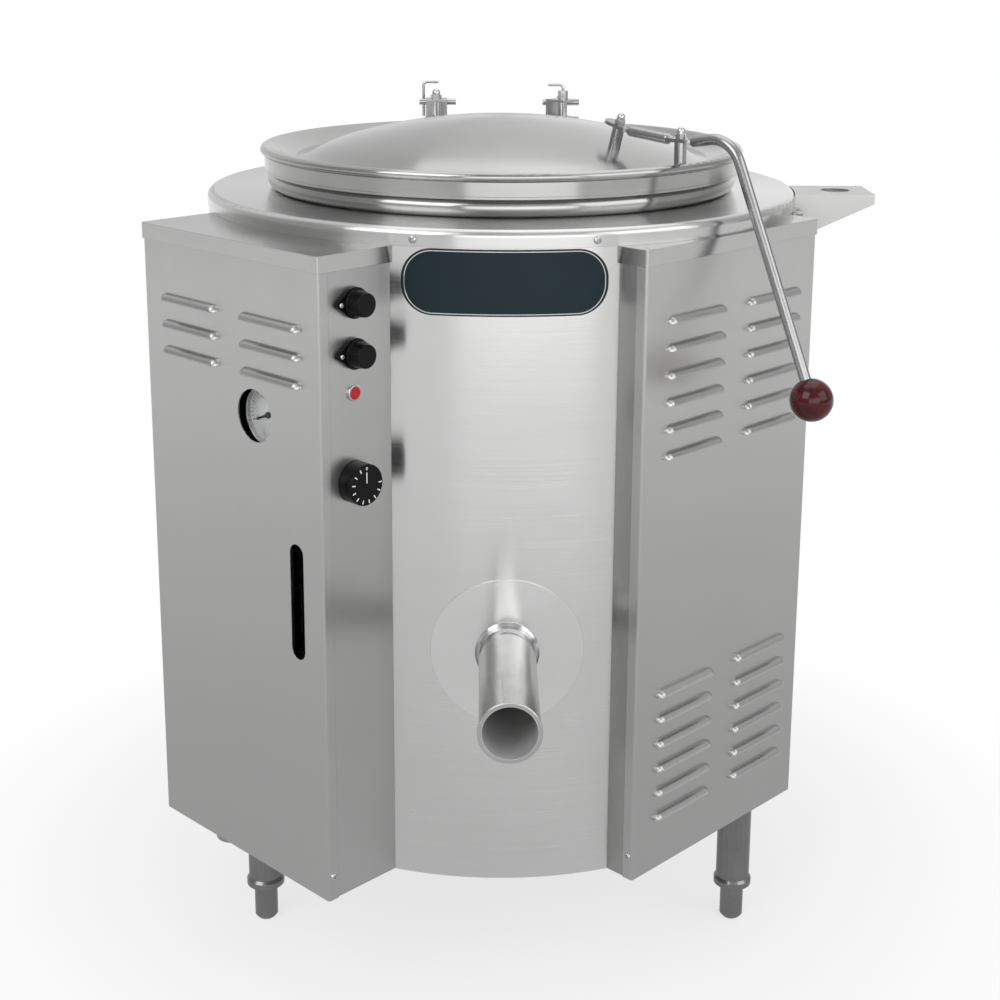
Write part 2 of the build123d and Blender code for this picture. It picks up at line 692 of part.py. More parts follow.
def flat_centre(place, lean):
    """Middle of the rod's flat where it sits on a stand-off, and the direction in which the flat runs."""
    x, z = post_top(place, lean)
    rise, run = sin(radians(lean)), cos(radians(lean))
    middle = Vector(x + FLAT_HALF[1] * rise, 0, z + FLAT_HALF[1] * run)
    return middle, Vector(run, 0, -rise)


def flat_pad(place, lean):
    middle, along = flat_centre(place, lean)
    pad = extrude(SlotOverall(2 * FLAT_TAPER, 2 * FLAT_HALF[0]), FLAT_HALF[1], both=True)
    return Plane(origin=middle, x_dir=along, z_dir=along.cross(Vector(0, 1, 0)) * -1) * pad


def rod_taper(start, end):
    """Rod end that thins from the full section at its end to the flat's thickness at its start."""
    run = end - start
    grow = Align.CENTER, Align.CENTER, Align.MIN
    thin = FLAT_HALF[1] - 0.2
    return Plane(origin=start, z_dir=run) * Cone(thin, ROD_RADIUS, run.length, align=grow)


def handle_rod():
    """Round rod, hammered flat over its two stand-offs, bent down outside the kettle to the ball."""
    rear, rear_along = flat_centre(REAR_POST, REAR_POST_LEAN)
    front, front_along = flat_centre(FRONT_POST, 0.0)
    rear_end = rear + rear_along * FLAT_TAPER
    front_end = front - front_along * FLAT_TAPER
    after = front + front_along * FLAT_TAPER
    rod = flat_pad(REAR_POST, REAR_POST_LEAN) + flat_pad(FRONT_POST, 0.0)
    rod += rod_taper(rear + rear_along * FLAT_REACH, rear_end)
    rod += rod_taper(front - front_along * FLAT_REACH, front_end)
    rod += rod_taper(front + front_along * FLAT_REACH, after)
    route = FilletPolyline(
        tuple(after), handle_point(ROD_CORNER), handle_point(BALL_CENTRE), radius=ROD_BEND
    )
    rod += sweep(Plane(route @ 0, z_dir=route % 0) * Circle(ROD_RADIUS), path=route)
    for joint in (rear_end, front_end, after):
        rod += Pos(*joint) * Sphere(ROD_RADIUS)
    middle = front_end - rear_end
    grow = Align.CENTER, Align.CENTER, Align.MIN
    rod += Plane(origin=rear_end, z_dir=middle) * Cylinder(ROD_RADIUS - 0.02, middle.length, align=grow)
    rod -= Pos(*handle_point(BALL_CENTRE)) * Sphere(BALL_RADIUS - 10)
    return on_handle_plane(rod)


def ball_knob():
    ball = Pos(*handle_point(BALL_CENTRE)) * Sphere(BALL_RADIUS)
    run = Vector(ROD_CORNER[0] - BALL_CENTRE[0], 0, ROD_CORNER[1] - BALL_CENTRE[1])
    socket = Plane(origin=handle_point(BALL_CENTRE), z_dir=run) * Cylinder(
        ROD_RADIUS, 60, align=(Align.CENTER, Align.CENTER, Align.MIN)
    )
    return on_handle_plane(ball - socket)


# ---------------------------------------------------------------- hinges
def hinge_posts():
    """Two posts on the rear of the deck, each drilled for its hinge pin."""
    posts = []
    for x in (-HINGE_X, HINGE_X):
        half = HINGE_POST / 2
        post = block((x - half, x + half), (HINGE_Y - 12, HINGE_Y + 12), (DECK_TOP, HINGE_Z + 10))
        post = fillet(post.edges().filter_by(Axis.X).sort_by(Axis.Z)[-2:], 8)
        foot = block((x - 15, x + 15), (HINGE_Y - 14, HINGE_Y + 20), (DECK_TOP, DECK_TOP + 4))
        bore = cylinder_x(HINGE_PIN + RUNNING, x - 10, x + 10, HINGE_Y, HINGE_Z)
        posts.append(post + foot - bore)
    return Compound(posts)


def hinge_leaves():
    """Straps on the lid's rim, each with two ears that straddle a post."""
    leaves = []
    for x in (-HINGE_X, HINGE_X):
        inner = HINGE_POST / 2 + 0.5
        outer = inner + HINGE_EAR
        strap = block((x - 12, x + 12), (CLAMP_BOLT_Y - 10, HINGE_Y - 13), (STRAP_Z, STRAP_Z + 3))
        ear = block((x - outer, x + outer), (HINGE_Y - 18, HINGE_Y + 9), (STRAP_Z, HINGE_Z + 9))
        ear = fillet(ear.edges().filter_by(Axis.X).sort_by(Axis.Y)[-2:], 7)
        ear -= block((x - inner, x + inner), (HINGE_Y - 13, HINGE_Y + 20), (900, 1100))
        leaves.append(strap + ear - cylinder_x(HINGE_PIN, x - 20, x + 20, HINGE_Y, HINGE_Z))
    return Compound(leaves)


def hinge_pins():
    """Cross pins through ears and posts; the left one is drilled for its lock pin."""
    short, long = HINGE_PIN_REACH
    left = cylinder_x(HINGE_PIN, -HINGE_X - short, -HINGE_X + long, HINGE_Y, HINGE_Z)
    left -= cylinder_z(LOCK_PIN + RUNNING, HINGE_Z - 20, HINGE_Z + 20, *LOCK_PLACES["left"])
    right = cylinder_x(HINGE_PIN, HINGE_X - long, HINGE_X + short, HINGE_Y, HINGE_Z)
    return Compound([left, right])


def clamp_channel(x, turn):
    """Channel clamp on a hinge strap: two level flanges and a rear web, open to the front."""
    low = STRAP_Z + 3
    half = CLAMP_WIDTH / 2
    body = block((-half, half), (CLAMP_FRONT - CLAMP_BOLT_Y, CLAMP_BACK - CLAMP_BOLT_Y), (low, CLAMP_TOP))
    body -= block((-half - 1, half + 1), (-40, CLAMP_BACK - CLAMP_BOLT_Y - 3), (low + 3, CLAMP_TOP - 3))
    body -= cylinder_z(BUSH_BORE, low - 5, CLAMP_TOP + 5)
    return Pos(x, CLAMP_BOLT_Y, 0) * Rot(0, 0, turn) * body


def lid_clamps():
    return Compound([clamp_channel(-HINGE_X, 0), clamp_channel(HINGE_X, CLAMP_TURN)])


def clamp_fasteners():
    """A spacer bush in each clamp, held by a bolt with acorn nut or by the lock pin's hexagon guide."""
    low, high = STRAP_Z + 6, CLAMP_TOP - 3
    bushes = [tube_z(BUSH_RADIUS, BUSH_BORE, low, high, x, CLAMP_BOLT_Y) for x in (-HINGE_X, HINGE_X)]
    bolt = cylinder_z(BUSH_BORE, STRAP_Z + 3, CLAMP_TOP, -HINGE_X, CLAMP_BOLT_Y)
    nut = Pos(-HINGE_X, CLAMP_BOLT_Y, CLAMP_TOP) * acorn_nut(6.5, 9)
    collar = Pos(HINGE_X, CLAMP_BOLT_Y, CLAMP_TOP) * hex_head(12.0, 12.0)
    sleeve = cylinder_z(BUSH_BORE, STRAP_Z + 3, CLAMP_TOP, HINGE_X, CLAMP_BOLT_Y)
    guide = cylinder_z(LOCK_PIN + RUNNING, STRAP_Z, CLAMP_TOP + 40, HINGE_X, CLAMP_BOLT_Y)
    return Compound([*bushes, bolt + nut, collar + sleeve - guide])


def lock_pin(place, low, arm):
    """L-shaped lock pin: a straight shank with a short handle bent over at its top."""
    x, y = place
    route = FilletPolyline((x, y, low), (x, y, LOCK_PIN_TOP), (x + arm, y, LOCK_PIN_TOP), radius=5)
    return sweep(Plane(route @ 0, z_dir=route % 0) * Circle(LOCK_PIN), path=route)


# ---------------------------------------------------------------- controls
def facing_x(shape, z):
    """Puts a shape that is drawn along +Z on the control face, facing outwards."""
    return left_cabinet(Pos(CONTROL_X, CONTROL_Y, z) * Rot(0, 90, 0) * shape)


def switch_plate(z):
    """Two-screw diamond plate behind a rotary switch knob."""
    outline = make_hull(
        [
            *Circle(KNOB_BASE + 1).edges(),
            *(Pos(0, SWITCH_SCREW) * Circle(5)).edges(),
            *(Pos(0, -SWITCH_SCREW) * Circle(5)).edges(),
        ]
    )
    plate = extrude(outline, PLATE_THICK) - Cylinder(SWITCH_BUSH, 20)
    return facing_x(plate, z)


def switch_plates():
    return Compound([switch_plate(z) for z in (UPPER_SWITCH_Z, LOWER_SWITCH_Z)])


def switch_screws():
    heads = []
    for z in (UPPER_SWITCH_Z, LOWER_SWITCH_Z):
        for offset in (-SWITCH_SCREW, SWITCH_SCREW):
            heads.append(facing_x(Pos(0, offset, PLATE_THICK) * pan_screw(2.9, 1.8), z))
    return Compound(heads)


def rotary_body(z, depth, half, bush_out):
    """Switch or thermostat body behind the control face, with the bush that its shaft turns in."""
    body = block((-half, half), (-half, half), (-SHEET - depth, -SHEET))
    body += cylinder_z(SWITCH_BUSH, -SHEET - 1, bush_out)
    return facing_x(body - cylinder_z(SHAFT_RADIUS + RUNNING, -SHEET - depth + 5, bush_out + 5), z)


def control_bodies():
    """Bodies of the two rotary switches and, larger, of the thermostat."""
    switches = [rotary_body(z, 34, 17, PLATE_THICK) for z in (UPPER_SWITCH_Z, LOWER_SWITCH_Z)]
    return Compound([*switches, rotary_body(DIAL_Z, 38, 20, 1.0)])


def switch_knob(z):
    """Round tapered knob on a skirt, with its shaft."""
    start = PLATE_THICK + LID_GAP
    skirt = cylinder_z(KNOB_BASE, start, start + 3)
    skirt = fillet(skirt.edges().sort_by(Axis.Z)[-1], 1.0)
    grip = Pos(0, 0, start + 3) * Cone(
        KNOB_BASE - 1.2, KNOB_FACE, KNOB_FRONT - start - 3, align=(Align.CENTER, Align.CENTER, Align.MIN)
    )
    grip = fillet(grip.edges().sort_by(Axis.Z)[-1], 1.5)
    shaft = cylinder_z(SHAFT_RADIUS, -20, start + 1)
    return facing_x(skirt + grip + shaft, z)


def thermostat_dial():
    """Thermostat dial: a plain drum with a bevelled front edge, and its shaft."""
    start = 1.0 + LID_GAP
    drum = cylinder_z(DIAL_RADIUS, start, DIAL_LENGTH)
    drum = fillet(drum.edges().sort_by(Axis.Z)[-1], 1.5)
    shaft = cylinder_z(SHAFT_RADIUS, -20, start + 1)
    return facing_x(drum + shaft, DIAL_Z)


def pilot_bezel():
    """Chrome ring and body of the pilot lamp."""
    ring = cylinder_z(9.0, 0, 3.2)
    ring = fillet(ring.edges().sort_by(Axis.Z)[-1], 1.2)
    body = cylinder_z(LAMP_BODY, -28, 0)
    return facing_x(ring + body - cylinder_z(LENS_RADIUS, 1.0, 5), LAMP_Z)


def pilot_lens():
    lens = cylinder_z(LENS_RADIUS, 1.0, 4.4)
    return facing_x(fillet(lens.edges().sort_by(Axis.Z)[-1], 1.8), LAMP_Z)


# ---------------------------------------------------------------- gauge and sight glass
def gauge_disc(radius, near, far):
    return cylinder_y(radius, GAUGE_FACE + near, GAUGE_FACE + far, WINDOW_X, GAUGE_Z)


def gauge_case():
    """Steel case of the pressure gauge with its bezel and the stem that ties it to the jacket."""
    case = gauge_disc(GAUGE_RADIUS, 0, GAUGE_DEPTH)
    case = fillet(case.edges().filter_by(GeomType.CIRCLE).sort_by(Axis.Y)[0], 1.5)
    case -= gauge_disc(GAUGE_RADIUS - BEZEL_WIDTH, -5, 8)
    stem = cylinder_y(6, GAUGE_FACE + GAUGE_DEPTH, -250, WINDOW_X, GAUGE_Z)
    return left_cabinet(case + outside_jacket(stem))


def gauge_dial():
    return left_cabinet(gauge_disc(GAUGE_RADIUS - BEZEL_WIDTH, 6.5, 8))


def gauge_lens():
    return left_cabinet(gauge_disc(GAUGE_RADIUS - BEZEL_WIDTH, 1.0, 2.5))


def gauge_pointer():
    """Thin tapered pointer on a hub, drawn at its zero."""
    near, far = GAUGE_FACE + 4.0, GAUGE_FACE + 5.0
    edge = [(-8, 1.4), (0, 1.8), (POINTER_LENGTH, 0.4)]
    other_edge = [(x, -y) for x, y in reversed(edge)]
    blade = make_face(Polyline(*edge, *other_edge, close=True))
    needle = extrude(blade, far - near) + Cylinder(3.6, 2 * (far - near))
    needle = Rot(90, 0, 0) * Rot(0, 0, POINTER_TURN) * needle
    return left_cabinet(Pos(WINDOW_X, far, GAUGE_Z) * needle)


def outside_jacket(shape):
    """Trims a pipe where it meets the jacket's outer wall."""
    return shape - Pos(0, 0, BOWL_CENTRE_Z) * Sphere(JACKET_RADIUS) - cylinder_z(
        JACKET_RADIUS, BOWL_CENTRE_Z, JACKET_TOP
    )


def sight_glass_tube():
    glass = tube_z(GLASS_RADIUS, GLASS_RADIUS - 1.8, GLASS_BOTTOM, GLASS_TOP, GLASS_X, GLASS_Y)
    return left_cabinet(glass)


def sight_glass_fittings():
    """Brass end fittings of the sight glass and the pipes that tie them to the jacket."""
    fittings = []
    for low, high in ((GLASS_BOTTOM - 16, GLASS_BOTTOM + 6), (GLASS_TOP - 6, GLASS_TOP + 16)):
        body = Pos(GLASS_X, GLASS_Y, low) * hex_head(22.0, high - low)
        fittings.append(body - cylinder_z(GLASS_RADIUS, GLASS_BOTTOM, GLASS_TOP, GLASS_X, GLASS_Y))
    low_z, high_z = GLASS_BOTTOM - 8, GLASS_TOP + 8
    turn = FilletPolyline(
        (GLASS_X, GLASS_Y + 9, low_z), (GLASS_X, -150, low_z), (GLASS_X, -150, low_z + 90), radius=25
    )
    lower = sweep(Plane(turn @ 0, z_dir=turn % 0) * Circle(6), path=turn)
    fittings[0] += outside_jacket(lower)
    fittings[1] += outside_jacket(cylinder_y(6, GLASS_Y + 9, -150, GLASS_X, high_z))
    return left_cabinet(Compound([piece.solids().sort_by(SortBy.VOLUME)[-1] for piece in fittings]))


# ---------------------------------------------------------------- inside the cabinets
def electrical_plate():
    plate = block((-145, 25), (PLATE_Y, PLATE_Y + 2), (230, 620))
    lugs = block((-CONTROL_X + SHEET, -145), (PLATE_Y, PLATE_Y + 2), (300, 330))
    lugs += block((-CONTROL_X + SHEET, -145), (PLATE_Y, PLATE_Y + 2), (520, 550))
    return left_cabinet(plate + lugs)


def power_blocks():
    """On the plate: the heater contactor, a stepped block, and the supply terminals' walled ways."""
    contactor = block((-110, -40), (PLATE_Y - 34, PLATE_Y), (440, 525))
    contactor += block((-100, -50), (PLATE_Y - 50, PLATE_Y - 34), (460, 505))
    terminals = block((-120, -30), (PLATE_Y - 26, PLATE_Y), (300, 345))
    for way in range(3):
        x = -105 + way * 30
        terminals -= block((x - 11, x + 11), (PLATE_Y - 30, PLATE_Y - 10), (290, 355))
    return Compound([left_cabinet(contactor), left_cabinet(terminals)])


def safety_valve():
    """Jacket safety valve in the right cabinet: nipple, body and cap."""
    y = -345.0
    valve = cylinder_z(13, 690, 735, 0, y) + cylinder_z(10, 735, 762, 0, y)
    valve += outside_jacket(cylinder_y(8, y, -300, 0, 705))
    return right_cabinet(valve.solids().sort_by(SortBy.VOLUME)[-1])


NODES = {
    "kettle_bowl": kettle_bowl,
    "steam_jacket": steam_jacket,
    "heating_elements": heating_elements,
    "support_posts": support_posts,
    "draw_off_elbow": draw_off_elbow,
    "draw_off_sleeve": draw_off_sleeve,
    "draw_off_collar": draw_off_collar,
    "draw_off_escutcheon": draw_off_escutcheon,
    "casing_front": casing_front,
    "casing_rear": casing_rear,
    "deck_cover": deck_cover,
    "base_pan": base_pan,
    "conduit_hub": conduit_hub,
    "left_side_panel": left_side_panel,
    "control_panel": control_panel,
    "left_rear_strip": lambda: left_cabinet(narrow_panel(LEFT_FACE, -1)),
    "left_top_cap": lambda: trimmed_cap(LEFT_FACE, left_cabinet),
    "right_side_panel": right_side_panel,
    "right_side_strips": right_side_strips,
    "right_top_cap": lambda: trimmed_cap(RIGHT_FACE, right_cabinet),
    "badge_plate": badge_plate,
    "faucet_bracket": faucet_bracket,
    "faucet_bracket_bolts": faucet_bracket_bolts,
    "casing_screws": casing_screws,
    "leg_tubes": leg_tubes,
    "leg_inserts": leg_inserts,
    "lid_cover": lid_cover,
    "lid_rim_ring": lid_rim_ring,
    "handle_posts": handle_posts,
    "handle_rod": handle_rod,
    "handle_nuts": handle_nuts,
    "ball_knob": ball_knob,
    "hinge_posts": hinge_posts,
    "hinge_leaves": hinge_leaves,
    "hinge_pins": hinge_pins,
    "lid_clamps": lid_clamps,
    "clamp_fasteners": clamp_fasteners,
    "left_lock_pin": lambda: lock_pin(LOCK_PLACES["left"], HINGE_Z - 20, 21.0),
    "right_lock_pin": lambda: lock_pin(LOCK_PLACES["right"], STRAP_Z + 4, -21.0),
    "switch_plates": switch_plates,
    "switch_screws": switch_screws,
    "control_bodies": control_bodies,
    "upper_switch_knob": lambda: switch_knob(UPPER_SWITCH_Z),
    "lower_switch_knob": lambda: switch_knob(LOWER_SWITCH_Z),
    "thermostat_dial": thermostat_dial,
    "pilot_bezel": pilot_bezel,
    "pilot_lens": pilot_lens,
    "gauge_case": gauge_case,
    "gauge_dial": gauge_dial,
    "gauge_pointer": gauge_pointer,
    "gauge_lens": gauge_lens,
    "sight_glass_tube": sight_glass_tube,
    "sight_glass_fittings": sight_glass_fittings,
    "electrical_plate": electrical_plate,
    "power_blocks": power_blocks,
    "safety_valve": safety_valve,
}
for index, place in enumerate(leg_places(), start=1):
    NODES[f"bullet_foot_{index}"] = lambda place=place: bullet_foot(*place)

os.makedirs("parts", exist_ok=True)
for name, make in NODES.items():
    export_step(make().moved(Location((AXIS_X, AXIS_Y, 0))), f"parts/{name}.step")
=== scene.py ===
from math import cos, hypot, pi, radians, sin, tau

import bmesh
import bpy
from mathutils import Matrix, Vector


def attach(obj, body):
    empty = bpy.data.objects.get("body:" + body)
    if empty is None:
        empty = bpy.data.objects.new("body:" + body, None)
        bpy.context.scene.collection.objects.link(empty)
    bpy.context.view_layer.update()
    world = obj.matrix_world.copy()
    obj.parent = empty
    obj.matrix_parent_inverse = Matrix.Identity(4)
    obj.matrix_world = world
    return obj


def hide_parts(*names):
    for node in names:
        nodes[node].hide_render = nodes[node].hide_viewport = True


# Looks of the steam jacketed kettle, in metres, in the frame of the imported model.
# Distances from the kettle axis match the construction model's driving dimensions.

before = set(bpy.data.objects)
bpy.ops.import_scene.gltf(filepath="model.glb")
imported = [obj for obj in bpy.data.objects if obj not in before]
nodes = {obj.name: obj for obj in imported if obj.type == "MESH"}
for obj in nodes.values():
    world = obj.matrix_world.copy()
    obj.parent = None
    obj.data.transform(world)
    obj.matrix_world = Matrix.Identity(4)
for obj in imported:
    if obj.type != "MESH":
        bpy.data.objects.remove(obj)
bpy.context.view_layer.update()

AXIS = Vector((-0.019, 0.100, 0.0))
CABINET_TURN = radians(45)

# room, as metal sees it: grey behind the camera, dimmer at the sides, with soft upright banks
ROOM_GREY = 0.60
ROOM_FADE = (-0.7, 0.1)
SIDE_DIM = 0.45
SIDE_FADE = (0.45, 0.95)
BANK_COUNT = 5.0
BANK_DEPTH = 0.14

# room, as plain light
PLAIN_COLOUR = (0.80, 0.81, 0.83, 1)
PLAIN_STRENGTH = 0.55

# floor: white enough under the object to soften its shadow, and grey in metal; both fade outwards
FLOOR_RADIUS = 9.0
FLOOR_WHITE = 0.72
FLOOR_WHITE_REACH = (0.40, 0.90)
FLOOR_GREY = 0.58
FLOOR_GREY_REACH = (0.5, 4.0)

# soft boxes: name, place, what each faces, size, watts
SOFT_BOXES = (
    ("key_light", (-2.2, -2.4, 3.0), (0, 0, 0.6), (2.4, 2.4), 48),
    ("fill_light", (2.8, -1.8, 2.2), (0, 0, 0.5), (2.4, 2.4), 30),
    ("front_light", (0.5, -3.4, 1.3), (0, 0, 0.6), (3.4, 1.6), 30),
    ("top_light", (0.2, 0.6, 3.4), (0, 0, 0.8), (2.6, 2.6), 17),
)

# camera, found from the photograph
CAMERA_PLACE = Vector((-0.0258, -2.1276, 1.1978)) + AXIS
CAMERA_YAW = radians(0.678)
CAMERA_PITCH = radians(13.365)
CAMERA_ROLL = radians(0.323)
CAMERA_LENS = 61.07
CAMERA_SHIFT_Y = -0.15

# noise: the range that most of it covers, and the brushed grain's cells per metre or radian
NOISE_RANGE = (0.25, 0.75)
GRAIN_FINE = 620.0
GRAIN_UPRIGHT = 6.0
GRAIN_LEVEL = 5.0
GRAIN_ROUND = 1.4
PIPE_GRAIN = (420.0, 420.0, 8.0)

# screws
CASING_RADIUS = 0.3635
DECK_RADIUS = 0.365
DECK_SCREW_TURNS = (-15.6, 15.6, 120.0, 180.0, 240.0)
DECK_SCREW_SPIN = 3
DECK_SCREW_Z = 0.896
PANEL_SCREW_Z = 0.181
CABINET_HALF = 0.156
LEFT_FACE = 0.430
RIGHT_FACE = 0.368
FLANGE_MIDDLE = 0.007
SCREW_RADIUS = 0.0044
SCREW_HEIGHT = 0.0024
PLATE_SCREW_RADIUS = 0.0029
PLATE_SCREW_HEIGHT = 0.0018
PLATE_SCREW_TURN = 0.6
PANEL_SCREW_TURN = 0.5
CROSS_HALF_WIDTH = 0.14
CROSS_REACH = 0.58
CROSS_DEPTH = 0.62

# printed marks on the dials: how far they stand out
MARK_PROUD = 0.00012

# controls on the narrow face of the left cabinet
CONTROL_X = 0.1544
CONTROL_Y = -0.382
SWITCH_Z = (0.8336, 0.7785)
SWITCH_PLATE = 0.006
SWITCH_SCREW = 0.0196
DIAL_Z = 0.6364
DIAL_FRONT = 0.020
DIAL_MARKS = 10
DIAL_MARK_STEP = radians(27)
DIAL_MARK_WIDTH = 0.0012
DIAL_MARK_LENGTH = 0.0046
DIAL_MARK_MIDDLE = 0.0188
POINTER_LENGTH = 0.0125
POINTER_MIDDLE = 0.0083
DIAL_FIGURE = 0.0052
DIAL_FIGURE_RADIUS = 0.0185

# gauge behind the round window of the left cabinet
GAUGE_X = 0.044
GAUGE_Z = 0.694
GAUGE_DIAL_DEPTH = 0.0205
GAUGE_MARK_RADIUS = 0.0315
GAUGE_START = radians(-110)
GAUGE_SWEEP = radians(250)
GAUGE_STEPS = 30
GAUGE_LONG_EVERY = 5
GAUGE_FIGURE_EVERY = 10
GAUGE_LONG_MARK = (0.0056, 0.0010)
GAUGE_SHORT_MARK = (0.0034, 0.0006)
GAUGE_FIGURE = 0.0076
GAUGE_FIGURE_INSET = 0.0095

# draw-off
DRAW_OFF = Vector((0.005, 0.0, 0.432))
BORE_RADIUS = 0.0290

# badge
BADGE_Z = 0.851
BADGE_SIZE = (0.222, 0.072)
BADGE_CORNER = 0.033
BADGE_THICK = 0.0015
BADGE_LINE = (0.0016, 0.0011, 0.0002)


# ------------------------------------------------------------------ places
def turned(angle):
    """Matrix that turns about the kettle axis."""
    return Matrix.Translation(AXIS) @ Matrix.Rotation(angle, 4, "Z")


def control_face(z, out=0.0, across=0.0):
    """Matrix with its Z axis straight out of the control face, Y axis up and X axis towards its right."""
    turn = turned(-CABINET_TURN)
    place = Matrix.Translation((CONTROL_X + out, CONTROL_Y + across, z))
    axes = Matrix(((0, 0, 1), (1, 0, 0), (0, 1, 0))).to_4x4()
    return turn @ place @ axes


def wide_face(face, turn, x, z, out=0.0):
    """Matrix with its Z axis straight out of a cabinet's wide face, Y axis up and X axis to the right."""
    place = Matrix.Translation((x, -face - out, z))
    axes = Matrix(((1, 0, 0), (0, 0, -1), (0, 1, 0))).to_4x4()
    return turned(turn) @ place @ axes


# ------------------------------------------------------------------ material tools
def start_material(name):
    """A new material with its node tree and its shader."""
    material = bpy.data.materials.new(name)
    material.use_nodes = True
    tree = material.node_tree
    shader = tree.nodes["Principled BSDF"]
    return material, tree, shader


def add(tree, kind, **values):
    """A new node with its settings."""
    node = tree.nodes.new(kind)
    for key, value in values.items():
        setattr(node, key, value)
    return node


def calc(tree, operation, first, second=None):
    """Result of one operation on numbers or sockets."""
    node = add(tree, "ShaderNodeMath", operation=operation)
    for socket, value in zip(node.inputs, (first, second)):
        if value is None:
            continue
        if isinstance(value, (int, float)):
            socket.default_value = value
        else:
            tree.links.new(value, socket)
    return node.outputs[0]


def object_point(tree):
    """The shaded point in the model's own frame."""
    return add(tree, "ShaderNodeTexCoord").outputs["Object"]


def noise(tree, vector, scale, detail=2.0, roughness=0.5):
    """Smooth noise with a number of cells per metre."""
    node = add(tree, "ShaderNodeTexNoise")
    node.inputs["Scale"].default_value = scale
    node.inputs["Detail"].default_value = detail
    node.inputs["Roughness"].default_value = roughness
    tree.links.new(vector, node.inputs["Vector"])
    return node.outputs["Fac"]


def stretched(tree, vector, scale):
    """Coordinates with a scale of their own along each axis."""
    node = add(tree, "ShaderNodeMapping")
    node.inputs["Scale"].default_value = scale
    tree.links.new(vector, node.inputs["Vector"])
    return node.outputs["Vector"]


def ramp(tree, value, reach, low, high=1.0, kind="LINEAR"):
    """Runs from low to high while the value crosses its reach, and stays level outside it."""
    node = add(tree, "ShaderNodeMapRange", interpolation_type=kind)
    node.inputs["From Min"].default_value, node.inputs["From Max"].default_value = reach
    node.inputs["To Min"].default_value = low
    node.inputs["To Max"].default_value = high
    tree.links.new(value, node.inputs["Value"])
    return node.outputs["Result"]


def span(tree, value, low, high):
    """Spreads a noise's usual range over low to high."""
    return ramp(tree, value, NOISE_RANGE, low, high)


def tinted(tree, shader, value, dark, light):
    """Runs the shader's colour from dark to light with a noise."""
    node = add(tree, "ShaderNodeMix", data_type="RGBA")
    tree.links.new(span(tree, value, 0.0, 1.0), node.inputs["Factor"])
    node.inputs["A"].default_value = (*dark, 1)
    node.inputs["B"].default_value = (*light, 1)
    tree.links.new(node.outputs["Result"], shader.inputs["Base Color"])


def blended(tree, factor, first, second):
    """Runs from the first shader to the second as a factor goes from 0 to 1."""
    node = add(tree, "ShaderNodeMixShader")
    for value, socket in zip((factor, first.outputs[0], second.outputs[0]), node.inputs):
        tree.links.new(value, socket)
    return node.outputs[0]


def offsets(tree, centre):
    """How far the shaded point is from a centre along X, Y and Z."""
    moved = add(tree, "ShaderNodeVectorMath", operation="SUBTRACT")
    tree.links.new(object_point(tree), moved.inputs[0])
    moved.inputs[1].default_value = centre
    split = add(tree, "ShaderNodeSeparateXYZ")
    tree.links.new(moved.outputs[0], split.inputs[0])
    return split.outputs


def hypotenuse(tree, across, up):
    """Longest side of a right triangle with the two given sides."""
    squares = (calc(tree, "MULTIPLY", side, side) for side in (across, up))
    return calc(tree, "SQRT", calc(tree, "ADD", *squares))


def bumped(tree, shader, height, strength, distance, edge=0.0):
    """Feeds a height to the shader's normal; a worn edge radius softens the sheet's sharp edges."""
    bump = add(tree, "ShaderNodeBump")
    bump.inputs["Strength"].default_value = strength
    bump.inputs["Distance"].default_value = distance
    tree.links.new(height, bump.inputs["Height"])
    if edge:
        bevel = add(tree, "ShaderNodeBevel", samples=4)
        bevel.inputs["Radius"].default_value = edge
        tree.links.new(bevel.outputs["Normal"], bump.inputs["Normal"])
    tree.links.new(bump.outputs["Normal"], shader.inputs["Normal"])


def round_grain(tree, across, up, along=None):
    """Coordinates that are fine outwards from an axis and along it, and long round it."""
    join = add(tree, "ShaderNodeCombineXYZ")
    radius = calc(tree, "MULTIPLY", hypotenuse(tree, across, up), GRAIN_FINE)
    turn = calc(tree, "MULTIPLY", calc(tree, "ARCTAN2", up, across), GRAIN_ROUND)
    tree.links.new(radius, join.inputs[0])
    tree.links.new(turn, join.inputs[1])
    if along is not None:
        tree.links.new(calc(tree, "MULTIPLY", along, GRAIN_FINE), join.inputs[2])
    return join.outputs[0]


def grain_point(tree, lay):
    """Coordinates that are fine across the grain and long along it."""
    if lay == "upright":
        return stretched(tree, object_point(tree), (GRAIN_FINE, GRAIN_FINE, GRAIN_UPRIGHT))
    if lay == "level":
        return stretched(tree, object_point(tree), (GRAIN_LEVEL, GRAIN_LEVEL, GRAIN_FINE))
    if lay == "disc":
        x, _, z = offsets(tree, DRAW_OFF + AXIS)
        return round_grain(tree, x, z)
    x, y, z = offsets(tree, AXIS)
    return round_grain(tree, x, y, z)


